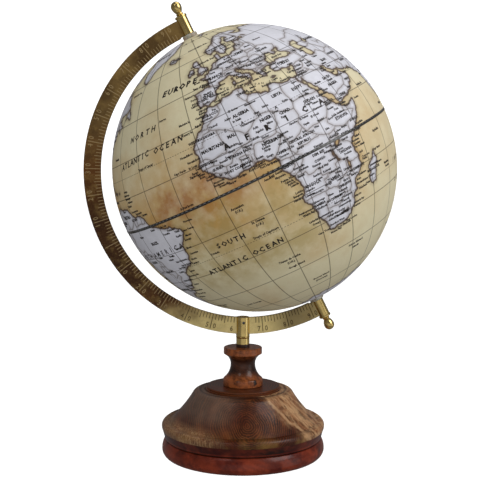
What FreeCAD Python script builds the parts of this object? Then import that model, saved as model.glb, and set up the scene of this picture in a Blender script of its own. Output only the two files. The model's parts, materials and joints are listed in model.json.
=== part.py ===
import FreeCAD, Part
import math
import os

import Sketcher

# Desktop globe on a turned wooden stand, millimetres, +Z up.
# The stand's axis is the Z axis and the felt rests on Z = 0.  The brass meridian
# arc lies in the XZ plane and its scale faces -Y.  The globe's poles lean towards
# -X at the top, by the axis tilt.
#
# Every turned piece is a revolved sketch whose corners are bound to the sheets:
# "Sizes" holds the driving dimensions and "Layout" what follows from them.

V = FreeCAD.Vector

SIZES = [
    # alias, value, what it is
    ("axis_tilt", 26.0, "lean of the globe's axis from upright, degrees"),
    ("arc_centre_x", 4.6, "sideways place of the arc's centre from the stem"),
    ("arc_offset", 4.3, "arc's centre behind the polar axis"),
    ("arc_width", 12.3, "radial width of the arc's flat bar"),
    ("arc_thickness", 3.0, "thickness of the arc's flat bar"),
    ("arc_edge_chamfer", 0.25, "broken edge of the bar"),
    ("arc_tip_setback", 2.1, "bar's end face to the polar axis"),
    ("relief_length", 4.6, "filed corner of the bar that clears the pole bush"),
    ("globe_radius", 101.6, "globe at its equator"),
    ("pole_stretch", 1.7, "how much further the poles are from the centre"),
    ("shell_thickness", 1.6, "wall of the moulded hemispheres"),
    ("joint_band_height", 12.0, "ring that joins the hemispheres inside"),
    ("joint_band_thickness", 1.4, "its wall"),
    ("joint_band_gap", 0.1, "its clearance in the shells"),
    ("tape_width", 1.8, "printed tape over the equator joint"),
    ("tape_thickness", 0.2, "its thickness"),
    ("glue_gap", 0.01, "thin bond line"),
    ("bush_barrel_radius", 3.5, "pole bush in the shell"),
    ("bush_barrel_length", 7.0, "its length inside the shell"),
    ("bush_flange_radius", 5.4, "its flange outside"),
    ("bush_flange_thickness", 2.8, "its flange"),
    ("bush_edge_radius", 0.6, "rounded rim of the flange"),
    ("bush_press_gap", 0.03, "bush to its hole in the shell"),
    ("running_gap", 0.3, "flange to the fixed sleeve"),
    ("axis_rod_radius", 1.5, "steel rod through both poles"),
    ("running_clearance", 0.05, "rod in its bores, on the radius"),
    ("sleeve_radius", 4.0, "brass sleeve on the arc's end"),
    ("sleeve_extra_length", 0.1, "sleeve longer than the bar is wide"),
    ("slot_clearance", 0.05, "bar in a slot, each side"),
    ("arc_sleeve_overlap", 0.8, "arc's inner edge below the sleeve's end"),
    ("finial_collar_radius", 4.4, "disc under the finial"),
    ("finial_collar_height", 1.6, "its height"),
    ("finial_neck_radius", 2.1, "narrowest place"),
    ("finial_bead_radius", 2.7, "small bead above the collar"),
    ("finial_ball_radius", 3.75, "round end of the egg"),
    ("finial_height", 12.1, "whole finial"),
    ("finial_hole_depth", 6.0, "threaded hole for the rod"),
    ("rod_end_gap", 0.5, "rod short of the hole's end"),
    ("felt_radius", 54.0, "felt under the base"),
    ("felt_thickness", 1.0, "felt"),
    ("foot_radius", 57.2, "plinth at its bottom edge"),
    ("plinth_radius", 59.3, "plinth at its widest"),
    ("plinth_wide_height", 4.2, "widest place above the plinth's bottom"),
    ("waist_radius", 57.2, "plinth beside its groove"),
    ("waist_height", 11.9, "groove above the plinth's bottom"),
    ("groove_depth", 0.9, "turned groove"),
    ("groove_half_width", 0.6, "turned groove"),
    ("plinth_height", 18.5, "plinth"),
    ("plinth_top_radius", 58.9, "plinth under the dome"),
    ("nut_recess_radius", 9.0, "recess for the nut"),
    ("nut_recess_depth", 7.0, "recess for the nut"),
    ("rod_hole_radius", 2.2, "hole for the tie rod"),
    ("spigot_radius", 30.0, "dome's spigot in the plinth"),
    ("spigot_height", 4.0, "dome's spigot"),
    ("wood_fit", 0.1, "glued wood joint"),
    ("dome_height", 28.3, "dome"),
    ("bead_radius", 59.45, "dome's bead at its widest"),
    ("bead_wide_height", 2.5, "widest place above the plinth"),
    ("bead_size", 3.1, "rounding over the bead"),
    ("crease_radius", 53.4, "crease inside the bead"),
    ("cove_radius", 88.0, "hollow of the dome's flank"),
    ("shoulder_radius", 37.0, "dome's flank at its top"),
    ("shoulder_drop", 3.1, "shoulder below the dome's top"),
    ("dome_top_radius", 32.3, "flat top of the dome"),
    ("disc_radius", 26.65, "raised disc"),
    ("disc_foot_radius", 27.4, "bead round the raised disc"),
    ("disc_thickness", 2.7, "raised disc"),
    ("disc_groove", 0.4, "turned hollow under the disc's rim"),
    ("tenon_radius", 8.0, "spool's tenon"),
    ("tenon_depth", 9.0, "its hole in the dome"),
    ("spool_height", 28.2, "spool above the disc"),
    ("spool_foot_radius", 14.4, "spool's foot"),
    ("spool_foot_height", 5.4, "spool's foot"),
    ("spool_neck_radius", 8.95, "spool's neck"),
    ("spool_neck_height", 16.0, "narrowest place above the disc"),
    ("spool_rim_radius", 14.0, "spool's top rim"),
    ("spool_rim_height", 5.0, "spool's top rim"),
    ("spool_edge", 0.5, "broken edges of the spool"),
    ("ring_radius", 4.95, "dark ring under the brass post"),
    ("ring_height", 2.3, "dark ring"),
    ("post_radius", 4.85, "brass post"),
    ("post_height", 4.3, "brass post"),
    ("collar_radius", 5.05, "thin collar under the arc clip"),
    ("collar_height", 1.6, "thin collar"),
    ("shank_radius", 2.5, "clip's shank inside the post"),
    ("shank_clearance", 0.1, "shank in the post"),
    ("clip_radius", 4.95, "slotted arc clip"),
    ("clip_floor", 1.2, "clip's solid part below its slot"),
    ("clip_rise", 0.4, "clip above the arc's inner edge"),
    ("arc_seat_gap", 0.1, "arc above the slot's floor"),
    ("clip_screw_drop", 4.0, "set screw below the clip's top"),
    ("clip_screw_radius", 1.0, "set screw"),
    ("clip_screw_recess", 0.4, "set screw inside the clip's wall"),
    ("screw_socket_radius", 0.5, "set screw's socket"),
    ("screw_socket_depth", 0.8, "set screw's socket"),
    ("tie_rod_radius", 2.0, "tie rod"),
    ("tie_rod_grip", 5.5, "tie rod's thread inside the clip's shank"),
    ("thread_clearance", 0.05, "threaded joints, on the radius"),
    ("washer_radius", 7.5, "washer under the base"),
    ("washer_thickness", 1.0, "washer under the base"),
    ("nut_across_flats", 7.0, "nut"),
    ("nut_thickness", 3.2, "nut"),
    ("rod_below_nut", 1.2, "tie rod past the nut"),
    ("screw_circle_radius", 20.0, "wood screws, distance from the axis"),
    ("screw_head_radius", 3.6, "wood screw"),
    ("screw_head_height", 2.6, "wood screw"),
    ("screw_head_recess", 1.0, "head below the plinth's bottom"),
    ("screw_shank_radius", 1.8, "wood screw"),
    ("screw_length", 24.0, "wood screw under its head"),
    ("screw_tip_length", 4.0, "wood screw's point"),
    ("screw_clearance", 0.1, "wood screw in its hole"),
]

SCREW_COUNT = 3


def tangent_radius(reach, rise):
    """Radius of an arc that starts upright and moves over by reach in rise."""
    return f"(({reach})^2 + ({rise})^2) / (2 * ({reach}))"


LAYOUT = [
    # heights of the stack on the stand's axis
    ("plinth_bottom", "Sizes.felt_thickness"),
    ("plinth_top", "plinth_bottom + Sizes.plinth_height"),
    ("groove_z", "plinth_bottom + Sizes.waist_height"),
    ("recess_top", "plinth_bottom + Sizes.nut_recess_depth"),
    ("spigot_bottom", "plinth_top - Sizes.spigot_height"),
    ("dome_top", "plinth_top + Sizes.dome_height"),
    ("disc_top", "dome_top + Sizes.disc_thickness"),
    ("tenon_hole_bottom", "dome_top - Sizes.tenon_depth"),
    ("spool_top", "disc_top + Sizes.spool_height"),
    ("ring_top", "spool_top + Sizes.ring_height"),
    ("post_top", "ring_top + Sizes.post_height"),
    ("collar_top", "post_top + Sizes.collar_height"),
    ("slot_floor", "collar_top + Sizes.clip_floor"),
    ("washer_bottom", "recess_top - Sizes.washer_thickness"),
    ("nut_bottom", "washer_bottom - Sizes.nut_thickness"),
    ("shank_bottom", "spool_top + Sizes.arc_seat_gap"),
    ("tie_rod_top", "shank_bottom + Sizes.tie_rod_grip"),
    ("bead_z", "plinth_top + Sizes.bead_wide_height"),
    ("bead_top_radius", "Sizes.bead_radius - Sizes.bead_size"),
    ("shoulder_z", "dome_top - Sizes.shoulder_drop"),
    ("neck_z", "disc_top + Sizes.spool_neck_height"),
    ("screw_head_z", "plinth_bottom + Sizes.screw_head_recess"),
    ("screw_seat_z", "screw_head_z + Sizes.screw_head_height"),
    ("screw_top_z", "screw_seat_z + Sizes.screw_length"),
    # the globe in its own frame: along the polar axis from the globe's centre
    ("polar_radius", "Sizes.globe_radius + Sizes.pole_stretch"),
    ("profile_shift", "(polar_radius^2 - Sizes.globe_radius^2) / (2 * Sizes.globe_radius)"),
    ("profile_radius", "Sizes.globe_radius + profile_shift"),
    ("inner_profile_radius", "profile_radius - Sizes.shell_thickness"),
    ("pole_hole_radius", "Sizes.bush_barrel_radius + Sizes.bush_press_gap"),
    ("pole_hole_outer", "sqrt(profile_radius^2 - (pole_hole_radius + profile_shift)^2)"),
    ("pole_hole_inner", "sqrt(inner_profile_radius^2 - (pole_hole_radius + profile_shift)^2)"),
    ("band_radius", "sqrt(inner_profile_radius^2 - (Sizes.joint_band_height / 2)^2)"
                    " - profile_shift - Sizes.joint_band_gap"),
    ("tape_inner_radius", "Sizes.globe_radius + Sizes.glue_gap"),
    ("bush_seat", "pole_hole_outer + Sizes.glue_gap"),
    ("flange_top", "bush_seat + Sizes.bush_flange_thickness"),
    ("bush_end", "bush_seat - Sizes.bush_barrel_length"),
    ("sleeve_start", "flange_top + Sizes.running_gap"),
    ("sleeve_end", "sleeve_start + Sizes.arc_width + Sizes.sleeve_extra_length"),
    ("rod_half_length", "sleeve_end + Sizes.finial_hole_depth - Sizes.rod_end_gap"),
    # the arc about its own centre, which lies behind the polar axis
    ("arc_pole_inner", "sleeve_start - Sizes.arc_sleeve_overlap"),
    ("arc_inner_radius", "sqrt(arc_pole_inner^2 + Sizes.arc_offset^2)"),
    ("arc_outer_radius", "arc_inner_radius + Sizes.arc_width"),
    ("tip_across", "Sizes.arc_offset - Sizes.arc_tip_setback"),
    ("relief_across", "tip_across - Sizes.relief_length"),
    ("tip_outer", "sqrt(arc_outer_radius^2 - tip_across^2)"),
    ("relief_inner", "sqrt(arc_inner_radius^2 - relief_across^2)"),
    ("slot_half_width", "Sizes.arc_thickness / 2 + Sizes.slot_clearance"),
    ("slot_bottom_across", "Sizes.arc_tip_setback - Sizes.slot_clearance"),
    # where the arc and the globe stand
    ("arc_centre_z", "slot_floor + Sizes.arc_seat_gap + arc_outer_radius"),
    ("clip_top", "arc_centre_z - arc_inner_radius + Sizes.clip_rise"),
    ("clip_screw_z", "clip_top - Sizes.clip_screw_drop"),
    ("globe_x", "Sizes.arc_centre_x + Sizes.arc_offset * cos(Sizes.axis_tilt * 1 deg)"),
    ("globe_z", "arc_centre_z + Sizes.arc_offset * sin(Sizes.axis_tilt * 1 deg)"),
]

doc = FreeCAD.newDocument("desktop_globe")


def fill_sheet(name, rows):
    """Make a sheet with one aliased cell per row: (alias, content, note)."""
    sheet = doc.addObject("Spreadsheet::Sheet", name)
    for row, (alias, content, note) in enumerate(rows, start=1):
        sheet.set(f"A{row}", alias)
        sheet.set(f"B{row}", content)
        sheet.set(f"C{row}", note)
        sheet.setAlias(f"B{row}", alias)
    doc.recompute()
    return sheet


sizes = fill_sheet("Sizes", [(alias, str(value), note) for alias, value, note in SIZES])
layout = fill_sheet("Layout", [(alias, f"={formula}", "") for alias, formula in LAYOUT])

UPPER_POLE = ("placement(vector(Layout.globe_x; 0; Layout.globe_z);"
              " rotation(vector(0; 1; 0); -Sizes.axis_tilt))")
LOWER_POLE = UPPER_POLE[:-1] + " * rotation(vector(1; 0; 0); 180))"
ARC_PLACE = ("placement(vector(Sizes.arc_centre_x; 0; Layout.arc_centre_z);"
             " rotation(vector(0; 1; 0); -Sizes.axis_tilt))")


def new_body(label, place=None):
    body = doc.addObject("PartDesign::Body", label)
    body.Label = label
    if place:
        body.setExpression("Placement", place)
    return body


def new_sketch(body, name, role):
    """A sketch on one of the body's own origin planes."""
    sketch = body.newObject("Sketcher::SketchObject", f"{body.Name}_{name}")
    plane = next(item for item in body.Origin.OriginFeatures if item.Role == role)
    sketch.AttachmentSupport = [(plane, "")]
    sketch.MapMode = "FlatFace"
    return sketch


def bound(sketch, kind, *where, to):
    """Add a constraint whose value follows the expression."""
    index = sketch.addConstraint(Sketcher.Constraint(kind, *where, float(sizes.evalExpression(to))))
    sketch.setExpression(f"Constraints[{index}]", to)


def arc_between(start, end, radius, centre_side):
    """The short arc from start to end with its centre on the given side of the way."""
    chord = end - start
    rise = math.sqrt(radius ** 2 - (chord.Length / 2) ** 2)
    left = V(-chord.y, chord.x, 0).normalize()
    centre = (start + end) * 0.5 + left * (rise if centre_side == "left" else -rise)
    first, last = (start, end) if centre_side == "left" else (end, start)
    begin = math.atan2(first.y - centre.y, first.x - centre.x)
    finish = math.atan2(last.y - centre.y, last.x - centre.x)
    if finish < begin:
        finish += 2 * math.pi
    return Part.ArcOfCircle(Part.Circle(centre, V(0, 0, 1), radius), begin, finish)


def outline(sketch, corners, arcs):
    """A closed outline through the corners, each a pair of expressions.

    arcs gives, for the edges that aren't straight, the radius and the side of the
    way on which the arc's centre lies.  The key is the edge's first corner.
    """
    points = [V(*(float(sizes.evalExpression(part)) for part in corner), 0) for corner in corners]
    ends = []
    for number, start in enumerate(points):
        end = points[(number + 1) % len(points)]
        if number in arcs:
            radius, side = arcs[number]
            edge = arc_between(start, end, float(sizes.evalExpression(radius)), side)
            ends.append((1, 2) if side == "left" else (2, 1))
        else:
            edge = Part.LineSegment(start, end)
            ends.append((1, 2))
        sketch.addGeometry(edge)
    for number, (first, last) in enumerate(ends):
        following = (number + 1) % len(ends)
        sketch.addConstraint(Sketcher.Constraint("Coincident", number, last, following, ends[following][0]))
    for number, (across, up) in enumerate(corners):
        vertex = (number, ends[number][0])
        for kind, axis, amount in (("DistanceX", -2, across), ("DistanceY", -1, up)):
            if amount == "0":
                sketch.addConstraint(Sketcher.Constraint("PointOnObject", *vertex, axis))
            else:
                bound(sketch, kind, -1, 1, *vertex, to=amount)
    for number, (radius, _) in arcs.items():
        bound(sketch, "Radius", number, to=radius)


def turned(label, corners, arcs=None, place=None):
    """A lathe-turned piece: corners are (radius, height) on the piece's axis."""
    body = new_body(label, place)
    sketch = new_sketch(body, "profile", "XZ_Plane")
    outline(sketch, corners, arcs or {})
    turning = body.newObject("PartDesign::Revolution", f"{label}_turning")
    turning.Profile = sketch
    turning.ReferenceAxis = (sketch, ["V_Axis"])
    turning.Angle = 360
    doc.recompute()
    return body


def tube(label, inner, outer, bottom, top, place=None):
    return turned(label, [(inner, bottom), (outer, bottom), (outer, top), (inner, top)], place=place)


def bar(label, radius, bottom, top, place=None):
    return turned(label, [("0", bottom), (radius, bottom), (radius, top), ("0", top)], place=place)


def cut_away(body, name, role, draw, both_ways=True, reverse=False, depth=None):
    """Pocket a sketch into the body and make sure that it removed something."""
    before = body.Shape.Volume
    sketch = new_sketch(body, f"{name}_sketch", role)
    draw(sketch)
    pocket = body.newObject("PartDesign::Pocket", f"{body.Name}_{name}")
    pocket.Profile = sketch
    pocket.Reversed = reverse
    if depth is None:
        pocket.Type = "ThroughAll"
    else:
        pocket.Type = "Length"
        pocket.setExpression("Length", depth)
    if both_ways:
        pocket.SideType = "Symmetric"
    doc.recompute()
    if not body.Shape.Volume < before - 0.01:
        raise RuntimeError(f"{name} cut nothing from {body.Label}")
    return pocket


def repeat_round(body, feature, count):
    """Repeat a feature about the body's upright axis."""
    before = body.Shape.Volume
    pattern = body.newObject("PartDesign::PolarPattern", f"{feature.Name}_round")
    pattern.Originals = [feature]
    pattern.Axis = (next(item for item in body.Origin.OriginFeatures if item.Role == "Z_Axis"), [""])
    pattern.Angle = 360
    pattern.Occurrences = count
    body.Tip = pattern
    doc.recompute()
    if not body.Shape.Volume < before - 0.01:
        raise RuntimeError(f"the pattern of {feature.Name} cut nothing")


def circle_at(across, up, radius):
    """Drawing function: one circle, its centre and radius bound to expressions."""
    def draw(sketch):
        numbers = [0.0 if part == "0" else float(sizes.evalExpression(part)) for part in (across, up, radius)]
        sketch.addGeometry(Part.Circle(V(numbers[0], numbers[1], 0), V(0, 0, 1), numbers[2]))
        for kind, axis, amount in (("DistanceX", -2, across), ("DistanceY", -1, up)):
            if amount == "0":
                sketch.addConstraint(Sketcher.Constraint("PointOnObject", 0, 3, axis))
            else:
                bound(sketch, kind, -1, 1, 0, 3, to=amount)
        bound(sketch, "Radius", 0, to=radius)
    return draw


def block_between(left, right, bottom, top):
    """Drawing function: an upright rectangle with bound sides."""
    def draw(sketch):
        outline(sketch, [(left, bottom), (right, bottom), (right, top), (left, top)], {})
    return draw


# --- Base: felt, plinth, dome and raised disc ---------------------------------

def make_felt_pad():
    bar("felt_pad", "Sizes.felt_radius", "0", "Sizes.felt_thickness")


def make_base_plinth():
    """Red-brown turned plinth with its groove, the nut's recess and the screw holes."""
    low = "Layout.plinth_bottom"
    top = "Layout.plinth_top"
    groove = "Layout.groove_z"
    widest = f"{low} + Sizes.plinth_wide_height"
    corners = [
        ("Sizes.nut_recess_radius", low),
        ("Sizes.foot_radius", low),
        ("Sizes.plinth_radius", widest),
        ("Sizes.waist_radius", f"{groove} - Sizes.groove_half_width"),
        ("Sizes.waist_radius - Sizes.groove_depth", groove),
        ("Sizes.waist_radius", f"{groove} + Sizes.groove_half_width"),
        ("Sizes.plinth_top_radius", top),
        ("Sizes.spigot_radius + Sizes.wood_fit", top),
        ("Sizes.spigot_radius + Sizes.wood_fit", "Layout.spigot_bottom - Sizes.wood_fit"),
        ("Sizes.rod_hole_radius", "Layout.spigot_bottom - Sizes.wood_fit"),
        ("Sizes.rod_hole_radius", "Layout.recess_top"),
        ("Sizes.nut_recess_radius", "Layout.recess_top"),
    ]
    below = tangent_radius("Sizes.plinth_radius - Sizes.foot_radius", "Sizes.plinth_wide_height")
    above = tangent_radius("Sizes.plinth_radius - Sizes.waist_radius",
                           f"{groove} - Sizes.groove_half_width - ({widest})")
    body = turned("base_plinth", corners, {1: (below, "left"), 2: (above, "left")})
    heads = cut_away(body, "head_hole", "XY_Plane",
                     circle_at("Sizes.screw_circle_radius", "0", "Sizes.screw_head_radius + Sizes.screw_clearance"),
                     both_ways=False, reverse=True, depth="Layout.screw_seat_z")
    repeat_round(body, heads, SCREW_COUNT)
    shanks = cut_away(body, "shank_hole", "XY_Plane",
                      circle_at("Sizes.screw_circle_radius", "0", "Sizes.screw_shank_radius + Sizes.screw_clearance"))
    repeat_round(body, shanks, SCREW_COUNT)


def make_base_dome():
    """Brown turned dome: bead, hollow flank, shoulder, and a fine groove round the disc."""
    top = "Layout.dome_top"
    groove_radius = "Sizes.disc_foot_radius + Sizes.disc_groove"
    corners = [
        ("Sizes.rod_hole_radius", "Layout.spigot_bottom"),
        ("Sizes.spigot_radius", "Layout.spigot_bottom"),
        ("Sizes.spigot_radius", "Layout.plinth_top"),
        ("Sizes.plinth_top_radius + Sizes.wood_fit", "Layout.plinth_top"),
        ("Sizes.bead_radius", "Layout.bead_z"),
        ("Layout.bead_top_radius", "Layout.bead_z + Sizes.bead_size"),
        ("Sizes.crease_radius", "Layout.bead_z + Sizes.bead_size"),
        ("Sizes.shoulder_radius", "Layout.shoulder_z"),
        ("Sizes.dome_top_radius", top),
        (f"{groove_radius} + Sizes.disc_groove", top),
        (groove_radius, f"{top} - Sizes.disc_groove"),
        ("Sizes.disc_foot_radius", top),
        ("Sizes.tenon_radius + Sizes.wood_fit", top),
        ("Sizes.tenon_radius + Sizes.wood_fit", "Layout.tenon_hole_bottom"),
        ("Sizes.rod_hole_radius", "Layout.tenon_hole_bottom"),
    ]
    under_bead = tangent_radius("Sizes.bead_radius - Sizes.plinth_top_radius - Sizes.wood_fit",
                                "Sizes.bead_wide_height")
    shoulder = tangent_radius("Sizes.shoulder_drop", "Sizes.shoulder_radius - Sizes.dome_top_radius")
    arcs = {3: (under_bead, "left"), 4: ("Sizes.bead_size", "left"),
            6: ("Sizes.cove_radius", "right"), 7: (shoulder, "left")}
    body = turned("base_dome", corners, arcs)
    pilots = cut_away(body, "pilot_hole", "XY_Plane",
                      circle_at("Sizes.screw_circle_radius", "0", "Sizes.screw_shank_radius + Sizes.screw_clearance"),
                      both_ways=False, reverse=True, depth="Layout.screw_top_z + Sizes.screw_clearance")
    repeat_round(body, pilots, SCREW_COUNT)


def make_base_cap_disc():
    """Dark raised disc with a turned hollow under its rim."""
    low = "Layout.dome_top"
    top = "Layout.disc_top"
    lip = "Sizes.disc_radius - Sizes.disc_groove"
    turned("base_cap_disc", [
        ("Sizes.tenon_radius + Sizes.wood_fit", low),
        ("Sizes.disc_foot_radius", low),
        ("Sizes.disc_foot_radius", f"{low} + 2 * Sizes.disc_groove"),
        (lip, f"{low} + 3 * Sizes.disc_groove"),
        (lip, f"{top} - 3 * Sizes.disc_groove"),
        ("Sizes.disc_radius", f"{top} - 2 * Sizes.disc_groove"),
        ("Sizes.disc_radius", f"{top} - Sizes.disc_groove / 2"),
        ("Sizes.disc_radius - Sizes.disc_groove / 2", top),
        ("Sizes.tenon_radius + Sizes.wood_fit", top),
    ])


def make_plinth_screws():
    """Three pan-head wood screws that hold the plinth to the dome, as one group."""
    screws = []
    for number in range(SCREW_COUNT):
        angle = 360 * number / SCREW_COUNT
        along = [f"Sizes.screw_circle_radius * {turn}({angle} deg)" for turn in ("cos", "sin")]
        pieces = []
        for kind, name, bottom in (
            ("Part::Cylinder", "head", "Layout.screw_head_z"),
            ("Part::Cylinder", "shank", "Layout.screw_seat_z"),
            ("Part::Cone", "point", "Layout.screw_top_z - Sizes.screw_tip_length"),
        ):
            piece = doc.addObject(kind, f"screw_{name}_{number}")
            piece.setExpression("Placement.Base.x", along[0])
            piece.setExpression("Placement.Base.y", along[1])
            piece.setExpression("Placement.Base.z", bottom)
            pieces.append(piece)
        head, shank, point = pieces
        head.setExpression("Radius", "Sizes.screw_head_radius")
        head.setExpression("Height", "Sizes.screw_head_height")
        shank.setExpression("Radius", "Sizes.screw_shank_radius")
        shank.setExpression("Height", "Sizes.screw_length - Sizes.screw_tip_length")
        point.setExpression("Radius1", "Sizes.screw_shank_radius")
        point.setExpression("Radius2", "Sizes.screw_shank_radius / 4")
        point.setExpression("Height", "Sizes.screw_tip_length")
        screw = doc.addObject("Part::MultiFuse", f"screw_{number}")
        screw.Shapes = pieces
        screws.append(screw)
    group = doc.addObject("Part::Compound", "plinth_screws")
    group.Links = screws


# --- Neck: spool, rings, post and the slotted clip ----------------------------

def make_neck_spool():
    """Dark turned spool with a tenon down into the dome."""
    low = "Layout.disc_top"
    top = "Layout.spool_top"
    edge = "Sizes.spool_edge"
    foot_top = f"{low} + Sizes.spool_foot_height"
    rim_low = f"{top} - Sizes.spool_rim_height"
    corners = [
        ("Sizes.rod_hole_radius", "Layout.tenon_hole_bottom + Sizes.wood_fit"),
        ("Sizes.tenon_radius", "Layout.tenon_hole_bottom + Sizes.wood_fit"),
        ("Sizes.tenon_radius", low),
        (f"Sizes.spool_foot_radius - {edge}", low),
        ("Sizes.spool_foot_radius", f"{low} + {edge}"),
        ("Sizes.spool_foot_radius", f"{foot_top} - {edge}"),
        (f"Sizes.spool_foot_radius - {edge} / 2", foot_top),
        ("Sizes.spool_neck_radius", "Layout.neck_z"),
        (f"Sizes.spool_rim_radius - {edge}", rim_low),
        ("Sizes.spool_rim_radius", f"{rim_low} + {edge}"),
        ("Sizes.spool_rim_radius", f"{top} - {edge}"),
        (f"Sizes.spool_rim_radius - {edge}", top),
        ("Sizes.rod_hole_radius", top),
    ]
    lower_cove = tangent_radius(f"Sizes.spool_foot_radius - {edge} / 2 - Sizes.spool_neck_radius",
                                f"Layout.neck_z - ({foot_top})")
    upper_cove = tangent_radius(f"Sizes.spool_rim_radius - {edge} - Sizes.spool_neck_radius",
                                f"{rim_low} - Layout.neck_z")
    turned("neck_spool", corners, {6: (lower_cove, "right"), 7: (upper_cove, "right")})


def make_stem():
    """Dark ring, brass post and thin collar, threaded on the clip's shank."""
    bore = "Sizes.shank_radius + Sizes.shank_clearance"
    tube("stem_ring", bore, "Sizes.ring_radius", "Layout.spool_top", "Layout.ring_top")
    tube("stem_post", bore, "Sizes.post_radius", "Layout.ring_top", "Layout.post_top")
    middle = "(Layout.post_top + Layout.collar_top) / 2"
    rim = "Sizes.collar_radius - Sizes.collar_height / 4"
    turned("stem_collar", [
        (bore, "Layout.post_top"),
        (rim, "Layout.post_top"),
        ("Sizes.collar_radius", middle),
        (rim, "Layout.collar_top"),
        (bore, "Layout.collar_top"),
    ])


def make_arc_clip():
    """Slotted brass sleeve that grips the arc, with a shank tapped for the tie rod."""
    tapped = "Sizes.tie_rod_radius + Sizes.thread_clearance"
    edge = "Sizes.clip_rise"
    body = turned("arc_clip", [
        (tapped, "Layout.shank_bottom"),
        ("Sizes.shank_radius", "Layout.shank_bottom"),
        ("Sizes.shank_radius", "Layout.collar_top"),
        ("Sizes.clip_radius", "Layout.collar_top"),
        ("Sizes.clip_radius", f"Layout.clip_top - {edge}"),
        (f"Sizes.clip_radius - {edge}", "Layout.clip_top"),
        ("0", "Layout.clip_top"),
        ("0", "Layout.tie_rod_top + Sizes.arc_seat_gap"),
        (tapped, "Layout.tie_rod_top + Sizes.arc_seat_gap"),
    ])
    cut_away(body, "arc_slot", "YZ_Plane",
             block_between("-Layout.slot_half_width", "Layout.slot_half_width",
                           "Layout.slot_floor", "Layout.clip_top + Sizes.clip_rise"))
    cut_away(body, "screw_hole", "XZ_Plane",
             circle_at("0", "Layout.clip_screw_z", "Sizes.clip_screw_radius + Sizes.thread_clearance"),
             both_ways=False, reverse=True)


def make_clip_screw():
    """Headless set screw through the clip's front wall, tight on the arc."""
    tip = "Layout.slot_half_width"
    head = "Sizes.clip_radius - Sizes.clip_screw_recess"
    turned("clip_screw", [
        ("0", tip),
        ("Sizes.clip_screw_radius", tip),
        ("Sizes.clip_screw_radius", head),
        ("Sizes.screw_socket_radius", head),
        ("Sizes.screw_socket_radius", f"{head} - Sizes.screw_socket_depth"),
        ("0", f"{head} - Sizes.screw_socket_depth"),
    ], place="placement(vector(0; 0; Layout.clip_screw_z); rotation(vector(1; 0; 0); 90))")


def make_tie_rod():
    """Threaded rod from the clip down through the wood, with its washer and nut."""
    bar("tie_rod", "Sizes.tie_rod_radius", "Layout.nut_bottom - Sizes.rod_below_nut", "Layout.tie_rod_top")
    tube("tie_washer", "Sizes.rod_hole_radius", "Sizes.washer_radius",
         "Layout.washer_bottom", "Layout.recess_top")
    prism = doc.addObject("Part::Prism", "nut_blank")
    prism.Polygon = 6
    prism.setExpression("Circumradius", "Sizes.nut_across_flats / sqrt(3)")
    prism.setExpression("Height", "Sizes.nut_thickness")
    prism.setExpression("Placement.Base.z", "Layout.nut_bottom")
    bore = doc.addObject("Part::Cylinder", "nut_bore")
    bore.setExpression("Radius", "Sizes.tie_rod_radius + Sizes.thread_clearance")
    bore.setExpression("Height", "Sizes.nut_thickness")
    bore.setExpression("Placement.Base.z", "Layout.nut_bottom")
    nut = doc.addObject("Part::Cut", "tie_nut")
    nut.Base = prism
    nut.Tool = bore


# --- Arc, end sleeves, axis rod and finials -----------------------------------

def make_meridian_arc():
    """Flat C-shaped brass bar, drawn about its own centre and padded to both sides."""
    body = new_body("meridian_arc", ARC_PLACE)
    sketch = new_sketch(body, "profile", "XZ_Plane")
    tip, relief = "Layout.tip_across", "Layout.relief_across"
    outer, clear = "Layout.tip_outer", "Layout.sleeve_start"
    outline(sketch, [
        (tip, f"-{outer}"),
        (tip, f"-{clear}"),
        (relief, f"-{clear}"),
        (relief, "-Layout.relief_inner"),
        ("-Layout.arc_inner_radius", "0"),
        (relief, "Layout.relief_inner"),
        (relief, clear),
        (tip, clear),
        (tip, outer),
        ("-Layout.arc_outer_radius", "0"),
    ], {
        3: ("Layout.arc_inner_radius", "right"), 4: ("Layout.arc_inner_radius", "right"),
        8: ("Layout.arc_outer_radius", "left"), 9: ("Layout.arc_outer_radius", "left"),
    })
    pad = body.newObject("PartDesign::Pad", "meridian_arc_pad")
    pad.Profile = sketch
    pad.SideType = "Symmetric"
    pad.setExpression("Length", "Sizes.arc_thickness")
    doc.recompute()
    rims = [f"Edge{number}" for number, edge in enumerate(pad.Shape.Edges, start=1)
            if isinstance(edge.Curve, Part.Circle)]
    chamfer = body.newObject("PartDesign::Chamfer", "meridian_arc_chamfer")
    chamfer.Base = (pad, rims)
    chamfer.setExpression("Size", "Sizes.arc_edge_chamfer")
    doc.recompute()


def make_end_sleeve(label, place):
    """Brass sleeve round the axis rod, slotted lengthwise for the arc's end."""
    body = tube(label, "Sizes.axis_rod_radius + Sizes.thread_clearance", "Sizes.sleeve_radius",
                "Layout.sleeve_start", "Layout.sleeve_end", place)
    cut_away(body, "arc_slot", "XY_Plane",
             block_between("-2 * Sizes.sleeve_radius", "-Layout.slot_bottom_across",
                           "-Layout.slot_half_width", "Layout.slot_half_width"))


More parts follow.
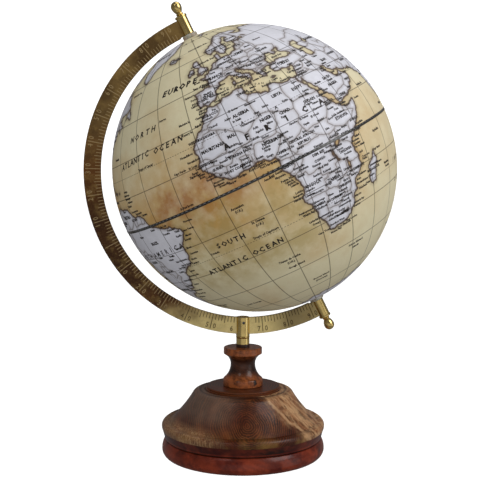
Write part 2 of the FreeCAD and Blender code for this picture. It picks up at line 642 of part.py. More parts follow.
def make_finial(label, place):
    """Turned finial: collar, small bead and an egg, tapped for the axis rod."""
    base = "Layout.sleeve_end"
    tapped = "Sizes.axis_rod_radius + Sizes.thread_clearance"
    collar_top = f"{base} + Sizes.finial_collar_height"
    bead_z = f"{collar_top} + Sizes.finial_neck_radius / 2"
    egg_low = f"{collar_top} + Sizes.finial_neck_radius"
    top = f"{base} + Sizes.finial_height"
    egg_z = f"{top} - Sizes.finial_ball_radius"
    bevel = "Sizes.finial_collar_height / 4"
    turned(label, [
        (tapped, base),
        (f"Sizes.finial_collar_radius - {bevel}", base),
        ("Sizes.finial_collar_radius", f"{base} + {bevel}"),
        ("Sizes.finial_collar_radius", f"{collar_top} - {bevel}"),
        (f"Sizes.finial_collar_radius - {bevel}", collar_top),
        ("Sizes.finial_neck_radius", collar_top),
        ("Sizes.finial_bead_radius", bead_z),
        ("Sizes.finial_neck_radius", egg_low),
        ("Sizes.finial_ball_radius", egg_z),
        ("0", top),
        ("0", f"{base} + Sizes.finial_hole_depth"),
        (tapped, f"{base} + Sizes.finial_hole_depth"),
    ], {
        7: (tangent_radius("Sizes.finial_ball_radius - Sizes.finial_neck_radius", f"{egg_z} - ({egg_low})"), "left"),
        8: ("Sizes.finial_ball_radius", "left"),
    }, place)


def make_axis_rod():
    bar("axis_rod", "Sizes.axis_rod_radius", "-Layout.rod_half_length", "Layout.rod_half_length", UPPER_POLE)


# --- Globe: everything that turns about the polar axis ------------------------

def make_hemisphere(label, place):
    """Moulded half of the globe, its outline an arc centred past the polar axis."""
    turned(label, [
        ("Layout.pole_hole_radius", "Layout.pole_hole_inner"),
        ("Sizes.globe_radius - Sizes.shell_thickness", "0"),
        ("Sizes.globe_radius", "0"),
        ("Layout.pole_hole_radius", "Layout.pole_hole_outer"),
    ], {
        0: ("Layout.inner_profile_radius", "right"),
        2: ("Layout.profile_radius", "left"),
    }, place)


def make_equator_rings():
    """Ring that joins the halves inside, and the printed tape over the joint."""
    half = "Sizes.joint_band_height / 2"
    tube("equator_band", "Layout.band_radius - Sizes.joint_band_thickness", "Layout.band_radius",
         f"-{half}", half, UPPER_POLE)
    edge = "Sizes.tape_width / 2"
    tube("equator_tape", "Layout.tape_inner_radius", "Layout.tape_inner_radius + Sizes.tape_thickness",
         f"-{edge}", edge, UPPER_POLE)


def make_pole_bush(label, place):
    """Pale flanged bush pressed into the shell, running on the axis rod."""
    bore = "Sizes.axis_rod_radius + Sizes.running_clearance"
    top = "Layout.flange_top"
    rounding = "Sizes.bush_edge_radius"
    turned(label, [
        (bore, "Layout.bush_end"),
        ("Sizes.bush_barrel_radius", "Layout.bush_end"),
        ("Sizes.bush_barrel_radius", "Layout.bush_seat"),
        ("Sizes.bush_flange_radius", "Layout.bush_seat"),
        ("Sizes.bush_flange_radius", f"{top} - {rounding}"),
        (f"Sizes.bush_flange_radius - {rounding}", top),
        (bore, top),
    ], {4: (rounding, "left")}, place)


make_felt_pad()
make_base_plinth()
make_base_dome()
make_base_cap_disc()
make_plinth_screws()
make_neck_spool()
make_stem()
make_arc_clip()
make_clip_screw()
make_tie_rod()
make_meridian_arc()
make_axis_rod()
for pole, place in (("upper", UPPER_POLE), ("lower", LOWER_POLE)):
    make_end_sleeve(f"{pole}_end_sleeve", place)
    make_finial(f"{pole}_finial", place)
    make_pole_bush(f"{pole}_pole_bush", place)
make_hemisphere("north_hemisphere", UPPER_POLE)
make_hemisphere("south_hemisphere", LOWER_POLE)
make_equator_rings()

NODES = [
    "felt_pad", "base_plinth", "base_dome", "base_cap_disc", "plinth_screws", "neck_spool",
    "stem_ring", "stem_post", "stem_collar", "arc_clip", "clip_screw", "tie_rod", "tie_washer",
    "tie_nut", "meridian_arc", "upper_end_sleeve", "lower_end_sleeve", "axis_rod",
    "upper_finial", "lower_finial", "north_hemisphere", "south_hemisphere", "equator_band",
    "equator_tape", "upper_pole_bush", "lower_pole_bush",
]

doc.recompute()
for item in doc.Objects:
    if {"Invalid", "Error"} & set(item.State):
        raise RuntimeError(f"{item.Label} did not recompute: {item.State}")
shapes = {}
for node in NODES:
    shape = doc.getObjectsByLabel(node)[0].Shape
    if shape.isNull() or not shape.isValid() or not shape.Solids:
        raise RuntimeError(f"{node} has no valid solid")
    shapes[node] = shape

os.makedirs("parts", exist_ok=True)
for node, shape in shapes.items():
    shape.exportStep(f"parts/{node}.step")
    print(f"{node}: {len(shape.Solids)} solid(s), {shape.Volume:.1f} mm3")
for alias in ("globe_x", "globe_z", "arc_centre_z", "arc_inner_radius", "sleeve_end"):
    print(alias, round(float(layout.get(alias)), 3))
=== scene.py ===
"""Desktop globe on a turned wooden stand: its printed map, lettering, engraved arc and finishes."""

import json
import math

import bmesh
import bpy
import numpy as np
from bpy.props import FloatProperty, FloatVectorProperty, IntProperty, PointerProperty
from mathutils import Matrix, Vector
from mathutils.kdtree import KDTree


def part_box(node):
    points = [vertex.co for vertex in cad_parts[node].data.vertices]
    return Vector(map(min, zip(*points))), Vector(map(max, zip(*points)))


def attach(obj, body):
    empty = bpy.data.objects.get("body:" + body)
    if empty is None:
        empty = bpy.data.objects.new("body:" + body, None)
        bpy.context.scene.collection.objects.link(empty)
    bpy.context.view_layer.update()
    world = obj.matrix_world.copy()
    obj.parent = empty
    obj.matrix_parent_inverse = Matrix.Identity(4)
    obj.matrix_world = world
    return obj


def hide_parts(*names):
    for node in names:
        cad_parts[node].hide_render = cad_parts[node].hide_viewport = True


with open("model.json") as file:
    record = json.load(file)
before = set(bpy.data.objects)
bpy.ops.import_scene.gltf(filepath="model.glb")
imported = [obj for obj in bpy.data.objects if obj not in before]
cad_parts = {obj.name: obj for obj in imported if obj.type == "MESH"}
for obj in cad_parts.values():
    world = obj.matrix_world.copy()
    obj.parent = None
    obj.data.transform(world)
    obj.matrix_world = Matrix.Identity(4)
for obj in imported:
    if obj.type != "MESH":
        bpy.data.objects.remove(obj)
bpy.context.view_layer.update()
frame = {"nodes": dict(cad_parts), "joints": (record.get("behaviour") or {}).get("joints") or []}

bl_info = {
    "name": "Desktop globe",
    "version": (1, 0, 0),
    "blender": (4, 5, 0),
    "location": "3D View > Sidebar > Globe",
    "description": "Makes the globe's map, lettering, engraved arc and finishes",
    "category": "Object",
}

MM = 0.001
NODES = frame["nodes"]
SPIN = frame["joints"][0]
CENTRE = Vector(SPIN["pos_m"])
POLE = Vector(SPIN["axis"]).normalized()
TILT = math.atan2(POLE.x, POLE.z)
GLOBE_PLACE = Matrix.Translation(CENTRE) @ Matrix.Rotation(TILT, 4, "Y")
EQUATOR_MM = (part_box("north_hemisphere")[1].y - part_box("north_hemisphere")[0].y) / 2 / MM
PROFILE_SHIFT_MM = 1.7142       # the profile's arc is centred this far beyond the polar axis
FRONT_LONGITUDE = 7.52          # the meridian that faces the front
LATITUDE_STRETCH = 4.56         # the gores put a printed latitude this much lower at 45 degrees
POLE_HOLE_MM = 3.53
ARC_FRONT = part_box("meridian_arc")[0].y
SKY_LIGHT = 0.15                # strength of the white room's light on the object
BACKDROP_LIGHT = 1.3            # strength of the white room where the camera sees it
CAMERA_PLACE = (-0.08665, -0.68781, 0.20974)
CAMERA_TURN = (7.016, -4.364, 0.074)    # yaw, pitch and roll in degrees


def srgb(red, green, blue):
    """A paint chart's colour as the linear values that the shaders use."""
    linear = [c / 3294.6 if c <= 10 else ((c / 255 + 0.055) / 1.055) ** 2.4 for c in (red, green, blue)]
    return (*linear, 1.0)


def tone(name, chart, note):
    """A colour property with its default given as a chart colour."""
    return FloatVectorProperty(name=name, description=note, default=srgb(*chart), size=4, min=0, max=1,
                               subtype="COLOR")


def size(name, note, default, least, most, unit="LENGTH"):
    """A size property in metres, or in degrees with the unit NONE."""
    return FloatProperty(name=name, description=note, default=default, min=least, max=most, unit=unit)


# ---------------------------------------------------------------- shader maths

class Wire:
    """A node's output that Python's own operators work on; each adds its Math node."""

    def __init__(self, finish, socket):
        self.finish, self.socket = finish, socket

    def maths(self, operation, *others, clamp=False):
        return self.finish.maths(operation, self, *others, clamp=clamp)

    def __add__(self, other):
        return self.maths("ADD", other)

    def __sub__(self, other):
        return self.maths("SUBTRACT", other)

    def __rsub__(self, other):
        return self.finish.maths("SUBTRACT", other, self)

    def __mul__(self, other):
        return self.maths("MULTIPLY", other)

    def __truediv__(self, other):
        return self.maths("DIVIDE", other)

    def __mod__(self, other):
        return self.maths("FLOORED_MODULO", other)

    def __pow__(self, other):
        return self.maths("POWER", other)

    def __abs__(self):
        return self.maths("ABSOLUTE")

    __radd__ = __add__
    __rmul__ = __mul__

    def step(self, low, high):
        """0 at low, 1 at high, straight between; low may be the greater."""
        return self.maths("MULTIPLY_ADD", 1 / (high - low), -low / (high - low), clamp=True)

    def band(self, middle, half, soft):
        """1 within half of the middle, fading over soft."""
        return abs(self - middle).step(half + soft, half)


class Graph:
    """The nodes of one material or world, built by calls."""

    def __init__(self, owner):
        owner.use_nodes = True
        self.tree = owner.node_tree
        self.tree.nodes.clear()

    def node(self, kind, settings=None, inputs=None, out=0):
        """A node of that kind: its settings first, then the values or wires of its sockets."""
        made = self.tree.nodes.new("ShaderNode" + kind)
        for key, value in (settings or {}).items():
            setattr(made, key, value)
        for key, value in (inputs or {}).items():
            if isinstance(value, Wire):
                self.tree.links.new(value.socket, made.inputs[key])
            else:
                made.inputs[key].default_value = value
        return Wire(self, made.outputs[out] if made.outputs else None)

    def maths(self, operation, *values, clamp=False):
        return self.node("Math", {"operation": operation, "use_clamp": clamp}, dict(enumerate(values)))

    def mix(self, share, first, second):
        return self.node("Mix", {"data_type": "RGBA"}, {0: share, 6: first, 7: second}, 2)


class Finish(Graph):
    """One material: a Principled shader and what feeds it."""

    def __init__(self, name, slot=None, globe=False, **constants):
        self.material, self.slot = bpy.data.materials.new(name), slot
        super().__init__(self.material)
        shader = self.node("BsdfPrincipled", None, {key.replace("_", " "): v for key, v in constants.items()})
        self.shader = shader.socket.node
        self.node("OutputMaterial", None, {"Surface": shader})
        self.place = self.node("TexCoord", out="Object")
        if globe:       # places measured from the globe's centre along its own axis
            inputs = {"Vector": self.place, "Location": CENTRE, "Rotation": (0, TILT, 0)}
            self.place = self.node("Mapping", {"vector_type": "TEXTURE"}, inputs)

    def noise(self, size_mm, detail=2, stretch=(1, 1, 1), rough=0.5, shift=(0, 0, 0), turn=0.0):
        """Noise from 0 to 1, features about size_mm across, longer by stretch along axes turned about Y."""
        inputs = {"Vector": self.place, "Scale": stretch, "Location": shift, "Rotation": (0, turn, 0)}
        place = self.node("Mapping", {"vector_type": "TEXTURE"}, inputs)
        inputs = {"Vector": place, "Scale": 1 / (size_mm * MM), "Detail": detail, "Roughness": rough}
        return self.node("TexNoise", None, inputs)

    def attribute(self, name, out="Fac"):
        return self.node("Attribute", {"attribute_name": name}, None, out)

    def axes(self):
        """The three parts of a place, in millimetres."""
        split = self.node("SeparateXYZ", None, {"Vector": self.place}).socket.node
        return [Wire(self, socket) * 1000 for socket in split.outputs]

    def feed(self, bump=None, bump_mm=0.1, **wires):
        """Joins wires to the shader's own sockets; a bump's height goes through a Bump node."""
        if bump:
            inputs = {"Height": bump, "Distance": bump_mm * MM, "Strength": 1.0}
            wires["Normal"] = self.node("Bump", None, inputs)
        for key, wire in wires.items():
            self.tree.links.new(wire.socket, self.shader.inputs[key.replace("_", " ")])
        return self


def paint(finish, *pieces):
    """Gives pieces, or CAD nodes by name, that finish."""
    for piece in pieces:
        piece = NODES.get(piece, piece)
        piece.data.materials.clear()
        piece.data.materials.append(finish.material)


def smooth(mesh, angle=32):
    """Shades a mesh smooth, with edges sharper than the angle kept crisp."""
    mesh.polygons.foreach_set("use_smooth", [True] * len(mesh.polygons))
    mesh.set_sharp_from_angle(angle=math.radians(angle))


def piece_from(name, points, faces, place=None):
    """A new object at the origin from points in metres and faces; its place, if any, goes into its mesh."""
    points = np.asarray(points, float)
    if place is not None:
        points = points @ np.array(place.to_3x3()).T + np.array(place.translation)
    mesh = bpy.data.meshes.new(name)
    mesh.from_pydata(points.tolist(), [], [tuple(f) for f in faces])
    mesh.validate()
    mesh.update()
    piece = bpy.data.objects.new(name, mesh)
    bpy.context.scene.collection.objects.link(piece)
    return piece


# ---------------------------------------------------------------- the map

# Outlines, longitude and latitude in degrees. West and south are negative.
LAND = """
-6 36 -2 35 1 36.5 5 36.8 10 37.3 11 37 10.5 34.5 11 33.5 15 32.3 16 31.2 19 30.3 20 31 20 32.5 22 33 25 31.8
29 31 31 31.6 33 31.2 33 30 32.6 29.8 33.5 28 35.5 24 37.2 21 37.3 19 38.5 18 40 15 43 12.5 43.3 11.5 45 10.5
48 11.2 51.2 12 51 10.4 49 6.5 48 4.5 46 2.5 42.5 -1 40 -3 39 -5 39.5 -7 39.5 -9 40.5 -11 40.6 -15 38 -17.5
35 -20 35.5 -23.5 33 -25.5 32.8 -28 31 -30 28 -33 25.5 -34 22 -34 20 -34.8 18.4 -34 18 -32 16.5 -28.7
15 -26.5 14.5 -22.5 12 -18 12 -15.5 13.7 -12 13 -9 12.2 -6 11 -3.8 9 -1.2 9.5 1 9.8 3 8.7 4.5 6.5 4.3 5 6
2.5 6.3 -1 5 -3.5 5.2 -7.5 4.4 -9.5 5.7 -11.5 7 -13.2 8.8 -13.8 10 -15 11 -16.8 12.5 -17.4 14.7 -16.4 16.5
-16.2 19 -17 21 -16 23.7 -14.5 26 -13 27.8 -11 28.8 -9.7 30 -9.8 31.5 -8 33.5 -6.8 34.2; 49.2 -12 50.4 -15.5
49.5 -18 48 -22 47 -25 45 -25.5 43.5 -23.5 43.3 -21.5 44.3 -19.5 44 -17 45.5 -16 47.5 -14.8 48.5 -13; -5.5 36
-2 36.8 -0.5 38 0.2 39 -0.3 39.6 1 41 3.2 42 3 43.2 5 43.3 7.5 43.8 9 44.4 10.3 43.5 11.5 42.3 13 41.2
15 40.2 16 39 15.7 38 16.5 38.3 17 39.2 16.8 40.3 18.5 40 17.5 41 16 41.8 15.5 42 13.7 43.3 12.3 44.5
12.5 45.5 13.7 45.7 14 44.9 15 44.5 16.5 43.4 19 42 19.5 41 20 39.5 21.3 38.2 21.6 37 23 36.5 23 37.5 24 37.8
23 39 22.8 40.4 24 40.2 26 40.8 27 40.5 29 41.1 28 42 27.8 43.3 28.7 44 29.7 45.2 31 46.6 33 46 33.5 45
34 44.4 36.5 45.3 35 46.2 38 47.1 39.3 47.2 38 46 37.5 45 39 44 41.5 42.5 41.6 41.5 38.5 41 36 41.6 33.5 42
31 41.2 29.2 41.2 27.5 40.3 26.3 39.3 26.8 38.3 27.3 37 29 36.5 30.6 36.8 32.5 36.1 34 36.3 36 36.8 35.8 35
35 33 34.3 31.3 32.4 31.1 32.3 30 33.5 28.5 34.3 27.8 34.9 29.5 35 28 37 25.5 38.5 23 39 21.3 41 18.5
42.7 16.5 43.3 12.7 45 12.8 48 14 52 15.6 55 17 57.8 19 59.8 22.5 58.5 23.6 56.5 24.5 56.3 26.2 54 24.2
51.5 24.2 51.6 25.8 50.8 24.8 50 26.5 48.5 28.5 48 30 50 30.2 51.5 27.8 54 26.6 56.8 27 57.5 25.7 61.5 25.1
66.5 25.2 67.5 23.8 70 22.7 69 22.2 72.5 21.2 72.8 19 74 15 75 12 76.5 8.9 77.5 8 79 9.2 80 12 80.2 15
82.3 16.8 85 19.5 87 21.3 89 21.8 91.8 22.5 92.5 21 94.3 18 94.3 16 96.5 16.5 97.7 15 98.7 11 98.3 8.3
100.4 6 101.5 3 103.5 1.3 104.2 1.5 103.4 4.5 102 6.2 100.3 8.3 99.3 10 100 13.2 101 12.7 102.5 12 104.8 10.3
105 8.7 106.8 10.4 109.2 11.8 109 14 107 16.8 105.7 19 108 21.6 110 20.4 110.5 21.3 114 22.3 117 23.5
119.5 25.5 121.8 28.5 121.8 31 120.5 33.8 119.3 35 122.5 37 119 37.3 118 38.8 121 40.8 121.3 39 124.5 40
125 38 126.5 37 126.4 34.4 129.2 35.2 129.4 37 127.5 39.5 130 42 135 43.5 138 46.5 140.5 50 141 53 137.5 54
135.5 54.7 140 57.5 143 59.3 149 59.5 155 59.3 160 61.8 163 61.5 162 60 156.7 57.5 155.7 54 156.7 51 159 53
162 56 163 58 165.5 60 170 60 174 62 177.5 62.5 179 64.5 183 65.5 190 66 185 67 180 69 175 69.8 170 69.8
161 69.5 152 70.9 140 72.5 133 71.5 129 72.5 124 73.5 113.5 73.7 112 76 104 77.7 98 76.2 87 75 80.5 73 80 72
75 72.8 73 71.5 74.5 68.5 72 67.5 69 72.8 67 71 67.5 68.8 60 69 54 68.5 46 68.2 44 66.5 40 64.6 37 65 33 66.7
41 66.8 40 67.8 33 69.5 28 71 22 70.2 17 68.8 14 66.5 11 64.3 8 63 5 61.8 5.2 59.5 7 58 9 59 10.6 59.5
11.3 58.5 12.8 56 14.3 55.5 16.5 57 18.5 59.5 17.3 61.5 20 63.7 22 65.7 24.5 65.8 25.3 65 21.5 62.8 21.5 60.9
25 60.2 29.5 60.2 28 59.6 24 59.3 24 58 22 57.5 21 56 20.5 54.8 18.5 54.6 14.2 54 11 54.2 10.8 56 10.6 57.7
8.2 57 8.4 54.5 8.8 53.8 5 53.2 3.5 51.4 1.7 50.8 0.2 49.5 -1.4 49.6 -1.5 48.6 -4.7 48.4 -2.3 47.3 -1.2 46
-1.4 43.4 -5 43.5 -9 43.2 -8.8 41 -9.4 38.7 -8.8 37 -6.5 36.9; 142.5 -10.7 143.8 -14.5 145.5 -15 146.3 -18.9
149.5 -21 153 -25 153.5 -28.5 152 -32.5 150 -37 147 -38.3 144.7 -38.2 141 -38.2 138.5 -35.5 137.8 -33
135.7 -34.9 134 -32.8 131 -31.6 126 -32.3 123.5 -34 118 -35 115 -34.3 115.7 -31.7 113.5 -26.5 113.7 -22.5
117 -20.6 121.5 -19 122.3 -17 125.5 -14 129 -15 130.5 -12.3 132.5 -11.3 136.7 -12.2 135.5 -15 139.5 -17.6
141 -16 141.6 -12.6; -168 65.6 -162 66.5 -166.5 68.4 -157 71.3 -148 70.4 -141 69.6 -135 69 -128 70 -121 69.8
-115 68.2 -108 68 -98 68 -95.5 71.8 -94 69 -88 68.5 -85.5 69.6 -81.5 69 -82 67.5 -87 65.5 -87.5 64.2 -94 61.5
-94.5 58.8 -92.5 57 -88 56.5 -82.3 55.1 -82 53 -79.5 51.3 -79 54.5 -76.6 56.5 -78.4 58.8 -77.5 62.3 -73 61.8
-69.5 61 -69.5 58.8 -66 58.8 -64.5 60.3 -61.5 56.5 -57.5 54 -56 52 -60 50.2 -66 50.2 -69 48.5 -65 49
-64.5 46.5 -61 45.4 -65.5 43.5 -66.5 45 -70 43.7 -70.5 42 -74 40.6 -75.5 38 -76 35.5 -79 33.5 -81.3 31.5
-80.2 27 -80.8 25.2 -82 27 -83.5 29.8 -86 30.4 -89.5 30.2 -90 29.1 -94 29.5 -97.3 27.8 -97.5 24 -97.7 22
-96 19 -94.5 18.2 -91.5 18.6 -90.4 21 -87 21.5 -87.7 18.5 -88.5 15.9 -84 15.8 -83.3 14.8 -83.7 11.5 -82 9
-79.7 9.4 -77 8.8 -77 7.2 -78.5 8.6 -79.5 8.9 -80.3 7.4 -82.8 8.2 -85 9.8 -86 11.5 -87.7 13 -91.5 14
-94.5 16.1 -97 15.8 -101.5 17.6 -105.5 20 -105.8 22.5 -109.3 26 -112 29 -114.7 31.7 -114.6 30 -112 27
-109.7 23.2 -112 25 -115 28 -117.2 32.6 -120.6 34.5 -122.4 37.5 -124.2 40.3 -124 46.2 -123 48.5 -127.5 51
-130.5 54.5 -134 58 -139.5 59.6 -146 60.8 -151.5 59.3 -154 58.5 -158 56.5 -163.5 54.8 -158 58.5 -162 59.5
-165.5 61.5 -163 63.3 -161 64.5; -77.3 8.6 -75.5 10.7 -74.3 11.1 -71.6 12.3 -71.3 11 -70 12 -68 10.6 -62 10.6
-60 8.5 -57 6 -52 4.8 -50 1 -48 -0.8 -44.3 -2.6 -40 -2.9 -37 -4.8 -35.2 -5.8 -34.9 -8 -37 -11 -39 -13.5
-39.2 -17.7 -41 -22 -44.5 -23.2 -48.5 -25.8 -48.7 -28.5 -51 -31.5 -53.7 -34.4 -56.5 -34.9 -58.4 -34 -57 -36.5
-58 -38.2 -62.2 -39 -65 -41 -63.7 -42.5 -65.3 -45 -67.5 -46.5 -65.8 -48 -69 -51 -68.4 -52.4 -65.5 -54.7
-69 -55.4 -72.5 -53.5 -75 -50.5 -75.5 -47 -73 -43.5 -73.7 -41.5 -73.3 -38 -71.5 -32 -70.2 -25 -70.3 -18.3
-75 -15.5 -77.2 -12 -79.6 -7.2 -81.2 -5.5 -80.2 -3 -81 -2 -80 0.5 -78.6 2 -77.2 4 -77.5 6.5 -77.9 7.3;
-180 -78.3 -165 -78.3 -158 -77 -150 -76.5 -135 -74.5 -115 -74 -100 -73 -90 -72.7 -75 -73 -68 -70 -67 -67
-61 -64 -57 -63.3 -60 -65.5 -62 -69 -61 -74 -60 -77.5 -45 -78 -35 -77.5 -25 -75 -15 -72.5 0 -70 20 -70 35 -69
50 -66.5 60 -67.2 70 -68.5 75 -69.5 85 -66.7 100 -65.5 115 -66.5 130 -66.2 145 -67 155 -69 165 -71 170 -72
165 -75 165 -78 180 -78.3 180 -90 -180 -90; -5.5 50.1 -3.5 50.3 1.3 51.1 1.7 52.6 0.2 53.2 -1.5 55 -2 57.5
-3 58.6 -5 58.5 -5.8 57 -4.9 55 -3 54 -4.5 53.2 -4.2 52 -5 51.7 -3 51.3; -6 52.2 -9.8 51.7 -9.8 53.5
-8.3 55.1 -6 55 -6 53.5; -22.5 64 -18.5 63.4 -14 65 -16 66.4 -20 66 -23.5 66.3 -24 65; 12.5 38 15.5 38.2
15 36.8 12.8 37.5; 8.3 41 9.6 41 9.5 39.2 8.5 39; 8.6 42.5 9.4 43 9.3 41.5; 23.6 35.5 26.2 35.2 24.8 34.9;
32.4 35 34.5 35.6 33.5 34.7; 11 79.5 20 80.3 27 80 20 78.5 16 76.7; 52 71 57 70.7 56 73 66 76.5 68 77 60 76.2
54 73.5; 95 79 105 78.5 97 81; 80 9.5 81.8 7.5 80.6 6 79.8 7.5; 131 34 135.5 34.6 137 34.6 139.8 35 141 37.5
142 39.5 141.3 41.4 140 40.5 139 38 137 37 136 35.7 132.8 35.5; 140 41.6 143.2 42 145.5 43.3 142 45.4
141.3 43.3; 130 33.5 131.8 33.4 131.3 31.4 130.2 31.3; 132.5 34 134.6 34.2 133.3 32.9; 142 46 143.5 49
143.2 52 142.7 54.3 142 51; 120.2 23 121.7 25.2 120.9 22; 108.7 19.2 111 20 110 18.3; 120.5 18.5 122.2 18.4
121.6 16 124 13 122.5 13.5 120.6 14 119.9 16; 122 7.5 124.5 8.5 126.3 8 126 6.3 124 6.5; 122 11.7 125 12.3
125.5 10.3 123 9.3; 109 1.5 111.3 2.3 113 3.2 116.8 7 119 5.2 117.7 3.5 118.5 1 116.3 -2.5 114.5 -4
111.5 -3.2 110 -1.5; 95.3 5.6 98 4 101 2 103.8 -1 106 -3 105.8 -5.8 104 -5.5 101 -2.5 98.7 1.5; 105.2 -6.8
108.5 -6.7 111 -6.4 114.5 -7.8 114.3 -8.7 110 -8.1 106.5 -7.4; 119.7 0.5 121 1.2 125 1.6 121 0.3 121.5 -1
123.2 -1 121.7 -2 122.8 -4.2 121 -3 120.4 -5.5 119.5 -4 119 -2.8; 131 -0.8 134 -1 135 -3.3 138 -1.7 141 -2.6
145 -4.3 147.8 -6.2 150.8 -10.4 147 -9.4 144 -7.7 142.5 -9.2 139 -8 138 -5.5 133 -4 132 -2.8; 148.5 -5.8
152 -4.2 151 -6; 144.8 -40.8 148.3 -41 147 -43.6 145.5 -42.5; 172.8 -34.5 175.5 -37 178.4 -37.8 176.8 -40
175 -41.4 173.9 -39.3 174.8 -37.5; 172.8 -40.6 174.2 -41.7 171 -44.5 170.5 -46 168 -46.6 166.6 -45.8 170 -43;
-80 73.7 -73 71.5 -68 69 -62 66.5 -65 64 -68 63 -72 64 -78 65 -73 67.5 -79 70 -89 71 -86 73.5; -117.5 71
-112 73 -105 73 -102 70 -109 68.8 -116 69.2; -125 72 -120 74.3 -116.5 73 -123 71.2; -90 76.5 -78 76.3
-65 81.5 -63 82.8 -80 83 -92 81 -88 79; -92 75 -80 75 -90 76; -115 75 -105 75 -108 76.5 -116 76; -87 64
-80 64 -85 66; -59 47.7 -53 46.8 -53.5 49.3 -56 51.5 -57.5 50.5; -73 78.3 -60 76 -54 71.5 -51.5 69.5 -53.8 67
-50 62 -44.5 60 -42 62 -40 65 -32 68 -24 70.5 -20 74 -18 77 -17 80.5 -28 82.5 -35 83.6 -50 82.5 -62 81.3
-68 80 -66 79; -84.8 21.9 -82 23.1 -79 22.4 -74.3 20.2 -77.5 19.9 -78.5 21; -74.3 18.5 -73 19.9 -68.5 18.6
-71 17.7; -78.3 18.4 -76.3 18.2 -77.5 17.8; -67.2 18.5 -65.6 18.3 -67 17.9; -128 50.7 -125 50 -123.5 48.4
-126.5 49.4; -61 -51.5 -57.8 -51.6 -59.5 -52.3
"""
WATER = """
47 45 50 46.8 53 46.7 53.2 45 51 44.3 52.5 42.5 52.8 41 53.8 39 53.8 37 50 37.4 49 38.5 49.5 40.3 48 42
47.3 43.3; 31.8 -1 33 0.2 34.2 0 34 -1.5 33 -2.5 31.8 -2.5; 58.5 45 61 46.5 61.5 44.5 59 43.7; 104 51.5
110 55.5 109.5 53; 29.2 -3.5 30 -6 31 -8.6 30.6 -8.7 29.3 -6; 34 -9.7 35 -13 34.7 -14 34 -12; -92 46.8
-88 48.6 -84.6 46.6 -88 46.4; -88 42 -87 45.5 -85 46 -86.5 43 -87 41.7; -84.5 46 -81 45.8 -82 43.2 -83.4 44;
-83 41.8 -79 42.9 -82 41.4; -79.7 43.3 -76.3 44 -78 43.3; -97 52 -98.5 53.5 -97 50.5; -120 61.5 -112 62
-116 60.9; -124 66 -118 66.3 -121 65; 31 61 33 61.2 32 60; 35 62 36.3 61
"""
